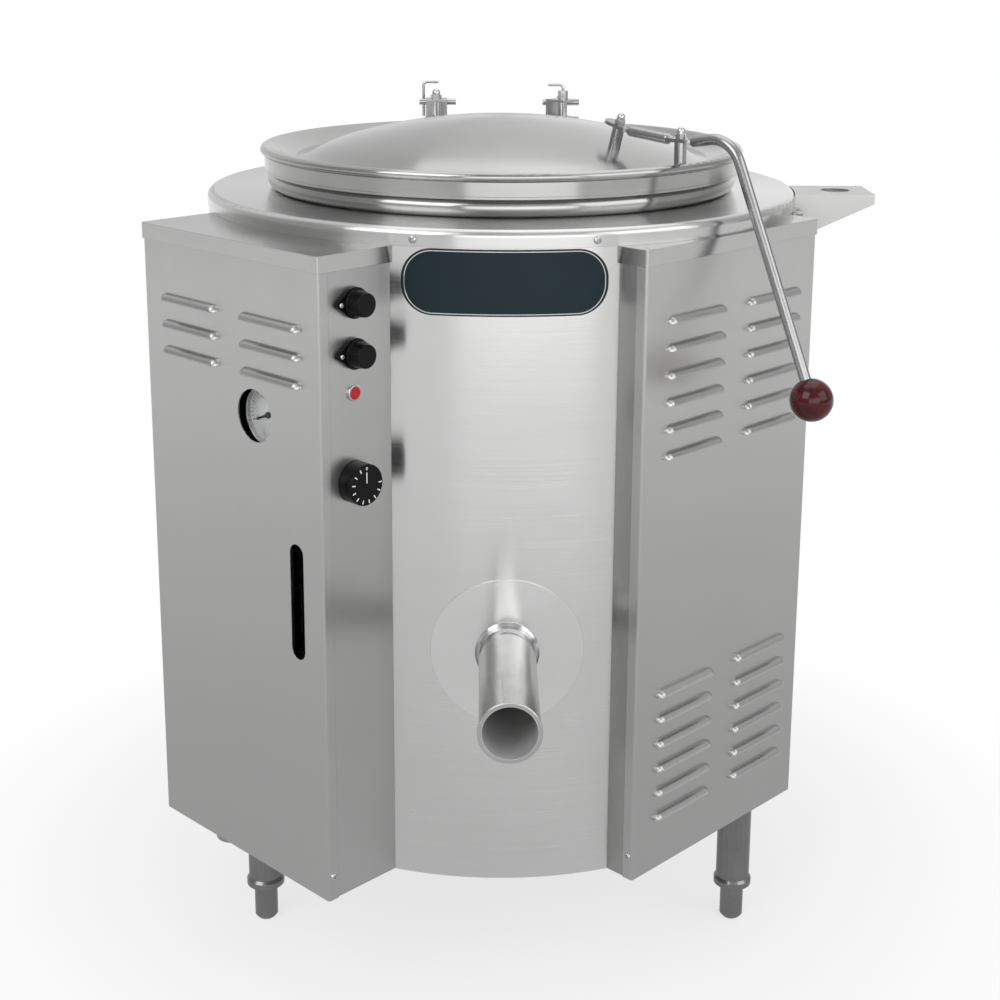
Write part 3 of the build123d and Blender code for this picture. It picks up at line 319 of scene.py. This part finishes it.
def brushed(name, lay, colour=(0.50, 0.50, 0.495), roughness=0.33, spread=0.6):
    """Brushed stainless sheet: fine directional grain, faint handling marks and softened edges."""
    material, tree, shader = start_material(name)
    fine = noise(tree, grain_point(tree, lay), scale=1.0, detail=4.0, roughness=0.65)
    cloud = noise(tree, object_point(tree), scale=5.5, detail=3.0)
    smear = noise(tree, object_point(tree), scale=38.0, detail=4.0, roughness=0.6)
    tint = calc(tree, "ADD", calc(tree, "MULTIPLY", fine, 0.5), calc(tree, "MULTIPLY", cloud, 0.5))
    dark = tuple(c * 0.96 for c in colour)
    light = tuple(min(c * 1.03, 1.0) for c in colour)
    tinted(tree, shader, tint, dark, light)
    gloss = calc(tree, "ADD", span(tree, fine, -0.03, 0.03), span(tree, cloud, -0.025, 0.025))
    gloss = calc(tree, "ADD", gloss, span(tree, smear, -0.015, 0.015))
    tree.links.new(calc(tree, "ADD", gloss, roughness), shader.inputs["Roughness"])
    shader.inputs["Metallic"].default_value = 1.0
    shader.inputs["Anisotropic"].default_value = spread
    shader.inputs["Anisotropic Rotation"].default_value = 0.0 if lay == "upright" else 0.25
    tangent = add(tree, "ShaderNodeTangent", direction_type="RADIAL", axis="Y" if lay == "disc" else "Z")
    tree.links.new(tangent.outputs[0], shader.inputs["Tangent"])
    bumped(tree, shader, fine, strength=0.07, distance=0.0002, edge=0.0007)
    return material


def polished(name, colour=(0.60, 0.60, 0.605), roughness=0.14):
    """Bright turned or drawn steel with faint drawing marks."""
    material, tree, shader = start_material(name)
    marks = noise(tree, object_point(tree), scale=260.0, detail=4.0, roughness=0.6)
    cloud = noise(tree, object_point(tree), scale=40.0, detail=2.0)
    dark = tuple(c * 0.88 for c in colour)
    tinted(tree, shader, cloud, dark, colour)
    gloss = calc(tree, "ADD", span(tree, marks, -0.04, 0.05), span(tree, cloud, -0.02, 0.03))
    tree.links.new(calc(tree, "ADD", gloss, roughness), shader.inputs["Roughness"])
    shader.inputs["Metallic"].default_value = 1.0
    bumped(tree, shader, marks, strength=0.10, distance=0.0001, edge=0.0004)
    return material


def plated(name, colour=(0.44, 0.45, 0.46), roughness=0.42):
    """Dull mill-finish or zinc-plated steel with a cloudy grain."""
    material, tree, shader = start_material(name)
    cloud = noise(tree, object_point(tree), scale=30.0, detail=5.0, roughness=0.6)
    dark = tuple(c * 0.75 for c in colour)
    tinted(tree, shader, cloud, dark, colour)
    tree.links.new(calc(tree, "ADD", span(tree, cloud, -0.06, 0.08), roughness), shader.inputs["Roughness"])
    shader.inputs["Metallic"].default_value = 1.0
    bumped(tree, shader, cloud, strength=0.12, distance=0.0003, edge=0.0005)
    return material


def moulded(name, colour=(0.0022, 0.0022, 0.0024), roughness=0.24):
    """Moulded phenolic plastic: near black, fine surface grain, slightly uneven gloss."""
    material, tree, shader = start_material(name)
    pits = noise(tree, object_point(tree), scale=900.0, detail=3.0, roughness=0.6)
    cloud = noise(tree, object_point(tree), scale=60.0, detail=3.0)
    light = tuple(c * 2.2 for c in colour)
    tinted(tree, shader, cloud, colour, light)
    tree.links.new(calc(tree, "ADD", span(tree, cloud, -0.05, 0.08), roughness), shader.inputs["Roughness"])
    shader.inputs["Specular IOR Level"].default_value = 0.15
    bumped(tree, shader, pits, strength=0.10, distance=0.00015, edge=0.0004)
    return material


def draw_off_tube(name):
    """Polished outside; inside the bore a matt pickled surface that catches light from the mouth."""
    material, tree, shader = start_material(name)
    lines = noise(tree, grain_point(tree, "disc"), scale=1.0, detail=3.0, roughness=0.6)
    cloud = noise(tree, object_point(tree), scale=30.0, detail=3.0)
    x, _, z = offsets(tree, DRAW_OFF + AXIS)
    inside = calc(tree, "LESS_THAN", hypotenuse(tree, x, z), BORE_RADIUS)
    tinted(tree, shader, cloud, (0.46, 0.46, 0.455), (0.53, 0.53, 0.525))
    metal = calc(tree, "SUBTRACT", 1.0, calc(tree, "MULTIPLY", inside, 0.85))
    tree.links.new(metal, shader.inputs["Metallic"])
    gloss = calc(tree, "ADD", span(tree, lines, 0.17, 0.23), calc(tree, "MULTIPLY", inside, 0.25))
    tree.links.new(gloss, shader.inputs["Roughness"])
    bumped(tree, shader, lines, strength=0.06, distance=0.0002, edge=0.0006)
    return material


def leg_pipe(name):
    """Dull drawn pipe with upright drawing lines."""
    material, tree, shader = start_material(name)
    lines = noise(tree, stretched(tree, object_point(tree), PIPE_GRAIN), scale=1.0, detail=3.0, roughness=0.6)
    cloud = noise(tree, object_point(tree), scale=24.0, detail=4.0, roughness=0.6)
    tint = calc(tree, "ADD", calc(tree, "MULTIPLY", lines, 0.6), calc(tree, "MULTIPLY", cloud, 0.4))
    tinted(tree, shader, tint, (0.19, 0.19, 0.192), (0.29, 0.29, 0.292))
    tree.links.new(calc(tree, "ADD", span(tree, lines, -0.06, 0.08), 0.34), shader.inputs["Roughness"])
    shader.inputs["Metallic"].default_value = 1.0
    bumped(tree, shader, lines, strength=0.15, distance=0.0002, edge=0.0006)
    return material


def marbled_ball(name):
    """Dark red cast phenolic with darker swirls under a clear gloss."""
    material, tree, shader = start_material(name)
    swirl = add(tree, "ShaderNodeTexWave", wave_type="BANDS", bands_direction="DIAGONAL")
    swirl.inputs["Scale"].default_value = 22.0
    swirl.inputs["Distortion"].default_value = 11.0
    swirl.inputs["Detail"].default_value = 3.0
    tree.links.new(object_point(tree), swirl.inputs["Vector"])
    cloud = noise(tree, object_point(tree), scale=70.0, detail=4.0, roughness=0.6)
    blend = calc(tree, "MULTIPLY", swirl.outputs["Fac"], cloud)
    tinted(tree, shader, blend, (0.045, 0.0015, 0.0025), (0.095, 0.003, 0.005))
    tree.links.new(span(tree, cloud, 0.10, 0.17), shader.inputs["Roughness"])
    shader.inputs["Specular IOR Level"].default_value = 0.28
    shader.inputs["Coat Weight"].default_value = 0.15
    shader.inputs["Coat Roughness"].default_value = 0.05
    return material


def enamelled(name, colour, roughness=0.25, coat=0.4, shine=0.5):
    """Even enamel with a slight orange-peel ripple."""
    material, tree, shader = start_material(name)
    peel = noise(tree, object_point(tree), scale=420.0, detail=2.0)
    cloud = noise(tree, object_point(tree), scale=12.0, detail=3.0)
    dark = tuple(c * 0.86 for c in colour)
    tinted(tree, shader, cloud, dark, colour)
    tree.links.new(calc(tree, "ADD", span(tree, cloud, -0.02, 0.03), roughness), shader.inputs["Roughness"])
    shader.inputs["Coat Weight"].default_value = coat
    shader.inputs["Coat Roughness"].default_value = 0.08
    shader.inputs["Specular IOR Level"].default_value = shine
    bumped(tree, shader, peel, strength=0.05, distance=0.0001)
    return material


def clear_glass(name):
    """Clear glass with a faint film."""
    material, tree, shader = start_material(name)
    film = noise(tree, object_point(tree), scale=90.0, detail=3.0)
    tree.links.new(span(tree, film, 0.0, 0.05), shader.inputs["Roughness"])
    tinted(tree, shader, film, (0.97, 0.98, 0.98), (0.99, 1.0, 1.0))
    shader.inputs["Transmission Weight"].default_value = 1.0
    shader.inputs["IOR"].default_value = 1.2
    return material


def red_lens(name):
    """Red moulded lens, lit a little from within by its own colour."""
    material, tree, shader = start_material(name)
    facets = add(tree, "ShaderNodeTexVoronoi")
    facets.inputs["Scale"].default_value = 900.0
    tree.links.new(object_point(tree), facets.inputs["Vector"])
    shade = facets.outputs["Distance"]
    tinted(tree, shader, shade, (0.34, 0.004, 0.007), (0.48, 0.008, 0.012))
    tree.links.new(span(tree, shade, 0.10, 0.22), shader.inputs["Roughness"])
    shader.inputs["Specular IOR Level"].default_value = 0.35
    bumped(tree, shader, shade, strength=0.25, distance=0.0003)
    return material


def cast_brass(name):
    """Cast brass, cloudy from its oxide."""
    material, tree, shader = start_material(name)
    cloud = noise(tree, object_point(tree), scale=45.0, detail=5.0, roughness=0.65)
    tinted(tree, shader, cloud, (0.36, 0.24, 0.09), (0.60, 0.43, 0.20))
    tree.links.new(span(tree, cloud, 0.24, 0.42), shader.inputs["Roughness"])
    shader.inputs["Metallic"].default_value = 1.0
    bumped(tree, shader, cloud, strength=0.15, distance=0.0003)
    return material


UPRIGHT = brushed("stainless_upright_grain", "upright")
# casing front: the same level-grain steel as the rear, painted lighter (0.67 against 0.52) as painted light
# on its lit front
LEVEL = brushed("stainless_level_grain", "level", (0.67, 0.67, 0.665), roughness=0.24, spread=0.7)
BACK = brushed("stainless_back_grain", "level", (0.52, 0.52, 0.515), roughness=0.26, spread=0.7)
CAP = brushed("stainless_cap_grain", "level", (0.48, 0.48, 0.475), roughness=0.20, spread=0.5)
# deck: the same ring-grain steel as the lid, painted lighter (0.60 against 0.42) as painted light and painted
# reflection of the rim
DECK = brushed("stainless_deck_grain", "ring", (0.60, 0.60, 0.595), roughness=0.24, spread=0.85)
# lid, rim and bowl: the same stainless painted darker (0.42 against 0.50) as painted shade that dims the dome
RING = brushed("stainless_ring_grain", "ring", (0.42, 0.42, 0.415), roughness=0.20, spread=0.85)
TUBE = draw_off_tube("stainless_tube")
# handle rod: the same polished stainless as the bright parts, painted darker (0.40 against 0.60) as painted
# shade in its reflections
ROD = polished("rod_stainless", (0.40, 0.40, 0.405), roughness=0.22)
# escutcheon: the same brushed stainless painted much lighter (0.74 against 0.50) as painted light
DISC = brushed("stainless_disc_grain", "disc", (0.74, 0.74, 0.735), roughness=0.24, spread=0.7)
PIPE = leg_pipe("drawn_pipe")
BRIGHT = polished("bright_stainless")
# recessed narrow strips of the right cabinet: the panels' steel painted darker (0.38 against 0.50) as painted
# shade in the recess
STRIP = brushed("stainless_inner_strip", "upright", (0.38, 0.38, 0.375), roughness=0.24)
FOOT = polished("foot_stainless", (0.27, 0.27, 0.273), roughness=0.26)
DULL = plated("dull_steel")
BLACK = moulded("black_plastic")
BALL = marbled_ball("red_phenolic")
TEAL = enamelled("badge_enamel", (0.006, 0.018, 0.024), roughness=0.42, coat=0.0, shine=0.22)
WHITE = enamelled("dial_enamel", (0.90, 0.90, 0.89), roughness=0.35)
MARK = enamelled("mark_enamel", (0.90, 0.90, 0.88), roughness=0.4, coat=0.0)
INK = enamelled("mark_ink", (0.03, 0.03, 0.035), roughness=0.4, coat=0.0)
GLASS = clear_glass("clear_glass")
LENS = red_lens("red_lens")
BRASS = cast_brass("cast_brass")
SHEATH = plated("heater_sheath", (0.30, 0.30, 0.30), roughness=0.5)

FINISH = {
    UPRIGHT: (
        "left_side_panel", "control_panel", "left_rear_strip", "right_side_panel",
        "hinge_posts", "hinge_leaves", "lid_clamps", "faucet_bracket",
    ),
    LEVEL: ("casing_front",),
    BACK: ("casing_rear",),
    PIPE: ("leg_tubes",),
    DISC: ("draw_off_escutcheon",),
    CAP: ("left_top_cap", "right_top_cap"),
    STRIP: ("right_side_strips",),
    FOOT: ("leg_inserts", "bullet_foot_1", "bullet_foot_2", "bullet_foot_3", "bullet_foot_4"),
    RING: ("kettle_bowl", "lid_cover", "lid_rim_ring"),
    DECK: ("deck_cover",),
    ROD: ("handle_rod", "handle_posts"),
    TUBE: ("draw_off_elbow", "draw_off_sleeve"),
    BRIGHT: (
        "draw_off_collar", "handle_nuts", "hinge_pins", "clamp_fasteners", "left_lock_pin", "right_lock_pin",
        "pilot_bezel", "gauge_case", "casing_screws", "switch_screws",
    ),
    DULL: (
        "steam_jacket", "support_posts", "base_pan", "conduit_hub", "faucet_bracket_bolts",
        "electrical_plate",
    ),
    BLACK: (
        "switch_plates", "control_bodies", "upper_switch_knob", "lower_switch_knob", "thermostat_dial",
        "gauge_pointer", "power_blocks",
    ),
    BALL: ("ball_knob",),
    TEAL: ("badge_plate",),
    WHITE: ("gauge_dial",),
    GLASS: ("gauge_lens", "sight_glass_tube"),
    LENS: ("pilot_lens",),
    BRASS: ("sight_glass_fittings", "safety_valve"),
    SHEATH: ("heating_elements",),
}


def dress_nodes():
    """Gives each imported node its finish."""
    for material, names in FINISH.items():
        for name in names:
            mesh = nodes[name].data
            mesh.materials.clear()
            mesh.materials.append(material)


dress_nodes()


# ------------------------------------------------------------------ piece tools
def placed(name, data):
    """A new object of the scene."""
    thing = bpy.data.objects.new(name, data)
    bpy.context.scene.collection.objects.link(thing)
    return thing


def mesh_data(name, mesh):
    """Mesh data made from a bmesh, which is freed."""
    data = bpy.data.meshes.new(name)
    mesh.to_mesh(data)
    mesh.free()
    return data


def piece(name, mesh, material, body, smooth_angle=40.0):
    """A finished piece from a bmesh: linked, shaded, given its material and tied to its body."""
    bmesh.ops.recalc_face_normals(mesh, faces=mesh.faces)
    data = mesh_data(name, mesh)
    data.materials.append(material)
    thing = placed(name, data)
    data.shade_smooth()
    data.set_sharp_from_angle(angle=radians(smooth_angle))
    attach(thing, body)
    return thing


def joined(pieces):
    """One bmesh from several."""
    whole = bmesh.new()
    for part in pieces:
        data = mesh_data("part", part)
        whole.from_mesh(data)
        bpy.data.meshes.remove(data)
    return whole


def wall(mesh, first, second):
    """Faces between two closed loops with equally many points."""
    count = len(first)
    for i in range(count):
        j = (i + 1) % count
        mesh.faces.new((first[i], second[i], second[j], first[j]))


def pan_head(radius, height, matrix, rings=14, segments=48):
    """Pan screw head with a real cross recess: a domed disc whose cross is pressed in."""
    mesh = bmesh.new()
    half_width = radius * CROSS_HALF_WIDTH
    reach = radius * CROSS_REACH

    def surface(r, turn):
        """Point of the head at a radius and a turn."""
        share = r / radius
        z = height * (1 - share ** 4) ** 0.5
        x, y = r * cos(turn), r * sin(turn)
        in_cross = min(abs(x), abs(y)) < half_width and max(abs(x), abs(y)) < reach
        if in_cross:
            z -= height * CROSS_DEPTH
        return Vector((x, y, max(z, 0.0)))

    loops = []
    for ring in range(1, rings + 1):
        r = radius * ring / rings
        loops.append([mesh.verts.new(surface(r, tau * s / segments)) for s in range(segments)])
    middle = mesh.verts.new((0, 0, height * (1 - CROSS_DEPTH)))
    for s in range(segments):
        mesh.faces.new((middle, loops[0][s], loops[0][(s + 1) % segments]))
    for inner, outer in zip(loops, loops[1:]):
        wall(mesh, inner, outer)
    mesh.faces.new(list(reversed(loops[-1])))
    mesh.transform(matrix)
    return mesh


def bar(length, width, height, matrix, steps=6):
    """Small bar with round ends along its own Y axis, standing on z = 0: a printed or inlaid mark."""
    mesh = bmesh.new()
    outline = []
    for end in (1, -1):
        for step in range(steps + 1):
            turn = pi * ((1 - end) / 2 + step / steps)
            outline.append((width / 2 * cos(turn), end * (length - width) / 2 + width / 2 * sin(turn)))
    low = [mesh.verts.new((x, y, 0)) for x, y in outline]
    high = [mesh.verts.new((x, y, height)) for x, y in outline]
    mesh.faces.new(high)
    mesh.faces.new(list(reversed(low)))
    wall(mesh, low, high)
    mesh.transform(matrix)
    return mesh


def numeral(text, size, matrix, height=0.0001):
    """Plain figures as a thin solid, centred on the matrix's origin and facing its Z axis."""
    curve = bpy.data.curves.new("numeral", "FONT")
    curve.body = text
    curve.size = size
    curve.align_x = "CENTER"
    curve.align_y = "CENTER"
    curve.extrude = height
    thing = placed("numeral", curve)
    data = bpy.data.meshes.new_from_object(thing)
    bpy.data.objects.remove(thing)
    bpy.data.curves.remove(curve)
    mesh = bmesh.new()
    mesh.from_mesh(data)
    bpy.data.meshes.remove(data)
    mesh.transform(matrix)
    return mesh


# ------------------------------------------------------------------ screws
def screw_places():
    """Seats of the nine casing screws, each turned a little differently."""
    for turn in DECK_SCREW_TURNS:
        face = wide_face(DECK_RADIUS, radians(turn), 0.0, DECK_SCREW_Z)
        yield face @ Matrix.Rotation(radians(turn * DECK_SCREW_SPIN), 4, "Z")
    for face, turn in ((LEFT_FACE, -CABINET_TURN), (RIGHT_FACE, CABINET_TURN)):
        for side in (-1, 1):
            place = Matrix.Translation((side * CABINET_HALF, -face + FLANGE_MIDDLE, PANEL_SCREW_Z))
            out = Matrix.Rotation(side * pi / 2, 4, "Y") @ Matrix.Rotation(side * PANEL_SCREW_TURN, 4, "Z")
            yield turned(turn) @ place @ out


def plate_screw_places():
    """Seats of the two screws beside each switch knob."""
    for z in SWITCH_Z:
        for side in (-1, 1):
            face = control_face(z, SWITCH_PLATE, side * SWITCH_SCREW)
            yield face @ Matrix.Rotation(PLATE_SCREW_TURN, 4, "Z")


screws = piece(
    "casing_pan_screws",
    joined([pan_head(SCREW_RADIUS, SCREW_HEIGHT, place) for place in screw_places()]),
    BRIGHT, "kettle",
)
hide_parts("casing_screws")

plate_screws = piece(
    "switch_plate_screws",
    joined([
        pan_head(PLATE_SCREW_RADIUS, PLATE_SCREW_HEIGHT, place)
        for place in plate_screw_places()
    ]),
    BRIGHT, "kettle",
)
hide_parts("switch_screws")


# ------------------------------------------------------------------ thermostat dial marks
dial_face = control_face(DIAL_Z, DIAL_FRONT)


def around(matrix, turn, radius):
    """Place at a clock angle and radius on a dial; its Y axis points outwards."""
    return matrix @ Matrix.Rotation(-turn, 4, "Z") @ Matrix.Translation((0, radius, 0))


dial_marks = [bar(POINTER_LENGTH, DIAL_MARK_WIDTH, MARK_PROUD, around(dial_face, 0.0, POINTER_MIDDLE))]
for step in range(1, DIAL_MARKS + 1):
    spot = around(dial_face, -step * DIAL_MARK_STEP, DIAL_MARK_MIDDLE)
    dial_marks.append(bar(DIAL_MARK_LENGTH, DIAL_MARK_WIDTH, MARK_PROUD, spot))
dial_marks.append(numeral("0", DIAL_FIGURE, around(dial_face, 0.0, DIAL_FIGURE_RADIUS), MARK_PROUD))
piece("dial_marks", joined(dial_marks), MARK, "thermostat_knob")

# ------------------------------------------------------------------ gauge marks
gauge_face = wide_face(LEFT_FACE - GAUGE_DIAL_DEPTH, -CABINET_TURN, GAUGE_X, GAUGE_Z)
gauge_marks = []
for step in range(GAUGE_STEPS + 1):
    length, width = GAUGE_SHORT_MARK if step % GAUGE_LONG_EVERY else GAUGE_LONG_MARK
    turn = GAUGE_START + GAUGE_SWEEP * step / GAUGE_STEPS
    radius = GAUGE_MARK_RADIUS - length / 2
    gauge_marks.append(bar(length, width, MARK_PROUD, around(gauge_face, turn, radius)))
    if step % GAUGE_FIGURE_EVERY == 0:
        spot = around(gauge_face, turn, GAUGE_MARK_RADIUS - GAUGE_FIGURE_INSET)
        upright = spot @ Matrix.Rotation(turn, 4, "Z")
        gauge_marks.append(numeral(str(step), GAUGE_FIGURE, upright, MARK_PROUD))
piece("gauge_marks", joined(gauge_marks), INK, "kettle")


# ------------------------------------------------------------------ badge edge
def stadium(width, height, corner, inset, steps=14):
    """Outline of the badge, a given distance inside its edge, as (across, up) points."""
    half_x, half_z = width / 2 - corner, height / 2 - corner
    radius = corner - inset
    points = []
    for quarter, (sx, sz) in enumerate(((1, 1), (-1, 1), (-1, -1), (1, -1))):
        for step in range(steps + 1):
            turn = pi / 2 * (quarter + step / steps)
            points.append((sx * half_x + radius * cos(turn), sz * half_z + radius * sin(turn)))
    return points


def on_casing(across, up, radius):
    """Point of the badge, wrapped round the casing at a radius."""
    turn = across / CASING_RADIUS
    return Vector((sin(turn) * radius, -cos(turn) * radius, BADGE_Z + up)) + AXIS


def densified(points, longest=0.01):
    """Splits the long straight runs so that they can follow the casing's curve."""
    dense = []
    for start, end in zip(points, points[1:] + points[:1]):
        parts = max(1, round(hypot(end[0] - start[0], end[1] - start[1]) / longest))
        for i in range(parts):
            share = i / parts
            dense.append(tuple(a + (b - a) * share for a, b in zip(start, end)))
    return dense


def badge_line(inset, width, proud):
    """Flat raised line that follows the badge's outline at a given inset."""
    mesh = bmesh.new()
    front = CASING_RADIUS + BADGE_THICK
    rings = []
    inner = inset + width
    for edge, radius in ((inset, front), (inset, front + proud), (inner, front + proud), (inner, front)):
        outline = densified(stadium(*BADGE_SIZE, BADGE_CORNER, edge))
        rings.append([mesh.verts.new(on_casing(x, z, radius)) for x, z in outline])
    for ring, following in zip(rings, rings[1:] + rings[:1]):
        wall(mesh, ring, following)
    return mesh


piece("badge_edge_line", badge_line(*BADGE_LINE), BRIGHT, "kettle")


# ------------------------------------------------------------------ room
def seen_ray(tree):
    """1 for what the camera sees straight, in metal or through glass, and 0 for plain light."""
    path = add(tree, "ShaderNodeLightPath")
    seen = calc(tree, "MAXIMUM", path.outputs["Is Camera Ray"], path.outputs["Is Glossy Ray"])
    return calc(tree, "MAXIMUM", seen, path.outputs["Is Transmission Ray"])


def floor_material():
    """Pale floor that takes the object's shadow close by and runs out to the white of the backdrop."""
    material, tree, shader = start_material("floor_pale")
    shade = noise(tree, object_point(tree), scale=3.0, detail=2.0)
    tinted(tree, shader, shade, (0.84, 0.84, 0.84), (0.86, 0.86, 0.86))
    shader.inputs["Roughness"].default_value = 0.7
    shader.inputs["Specular IOR Level"].default_value = 0.2
    away = add(tree, "ShaderNodeVectorMath", operation="DISTANCE")
    tree.links.new(object_point(tree), away.inputs[0])
    away.inputs[1].default_value = AXIS
    whiten = ramp(tree, away.outputs["Value"], FLOOR_WHITE_REACH, FLOOR_WHITE, kind="SMOOTHSTEP")
    graded = ramp(tree, away.outputs["Value"], FLOOR_GREY_REACH, FLOOR_GREY)
    seen = add(tree, "ShaderNodeLightPath").outputs["Is Camera Ray"]
    white = add(tree, "ShaderNodeEmission")
    tree.links.new(calc(tree, "MAXIMUM", graded, seen), white.inputs["Strength"])
    blend = blended(tree, calc(tree, "MULTIPLY", seen_ray(tree), whiten), shader, white)
    tree.links.new(blend, tree.nodes["Material Output"].inputs["Surface"])
    return material


def studio_floor():
    """Round floor under the object."""
    mesh = bmesh.new()
    bmesh.ops.create_circle(mesh, cap_ends=True, radius=FLOOR_RADIUS, segments=96)
    data = mesh_data("studio_floor", mesh)
    data.materials.append(floor_material())
    floor = placed("studio_floor", data)


def soft_box(name, place, target, size, power):
    """Rectangular area light that faces a target."""
    light = bpy.data.lights.new(name, "AREA")
    light.shape = "RECTANGLE"
    light.size, light.size_y = size
    light.energy = power
    thing = placed(name, light)
    thing.location = place
    thing.rotation_euler = (Vector(target) - Vector(place)).to_track_quat("-Z", "Y").to_euler()


def room_level(tree):
    """How bright the room is in metal: dimmer behind the camera and at the sides, in upright banks."""
    split = add(tree, "ShaderNodeSeparateXYZ")
    tree.links.new(add(tree, "ShaderNodeTexCoord").outputs["Generated"], split.inputs[0])
    x, y, _ = split.outputs
    back = ramp(tree, y, ROOM_FADE, ROOM_GREY, kind="SMOOTHSTEP")
    side = ramp(tree, calc(tree, "ABSOLUTE", x), SIDE_FADE, 1.0, 1.0 - SIDE_DIM, kind="SMOOTHSTEP")
    wave = calc(tree, "COSINE", calc(tree, "MULTIPLY", calc(tree, "ARCTAN2", y, x), BANK_COUNT))
    banks = calc(tree, "ADD", calc(tree, "MULTIPLY", wave, BANK_DEPTH), 1.0 - BANK_DEPTH)
    return calc(tree, "MULTIPLY", calc(tree, "MULTIPLY", back, banks), side)


def studio_world():
    """White backdrop for the camera, the graded room for metal and glass, and plain light for the rest."""
    world = bpy.data.worlds.new("studio")
    bpy.context.scene.world = world
    world.use_nodes = True
    tree = world.node_tree
    tree.nodes.clear()
    plain = add(tree, "ShaderNodeBackground")
    plain.inputs["Color"].default_value = PLAIN_COLOUR
    plain.inputs["Strength"].default_value = PLAIN_STRENGTH
    white = add(tree, "ShaderNodeBackground")
    white.inputs["Color"].default_value = (1, 1, 1, 1)
    seen = add(tree, "ShaderNodeLightPath").outputs["Is Camera Ray"]
    tree.links.new(calc(tree, "MAXIMUM", room_level(tree), seen), white.inputs["Strength"])
    out = add(tree, "ShaderNodeOutputWorld")
    tree.links.new(blended(tree, seen_ray(tree), plain, white), out.inputs[0])


def photo_camera():
    """Camera at the photograph's viewing angle."""
    camera = bpy.data.cameras.new("photo_camera")
    camera.lens = CAMERA_LENS
    camera.shift_y = CAMERA_SHIFT_Y
    thing = placed("photo_camera", camera)
    ahead = Vector((
        sin(CAMERA_YAW) * cos(CAMERA_PITCH), cos(CAMERA_YAW) * cos(CAMERA_PITCH), -sin(CAMERA_PITCH),
    ))
    right = Vector((cos(CAMERA_YAW), -sin(CAMERA_YAW), 0))
    up = right.cross(ahead)
    rolled_right = right * cos(CAMERA_ROLL) + up * sin(CAMERA_ROLL)
    rolled_up = up * cos(CAMERA_ROLL) - right * sin(CAMERA_ROLL)
    axes = Matrix((rolled_right, rolled_up, -ahead)).transposed().to_4x4()
    thing.matrix_world = Matrix.Translation(CAMERA_PLACE) @ axes
    bpy.context.scene.camera = thing


studio_floor()
studio_world()
photo_camera()
for light in SOFT_BOXES:
    soft_box(*light)

bpy.context.scene.view_settings.view_transform = "Standard"
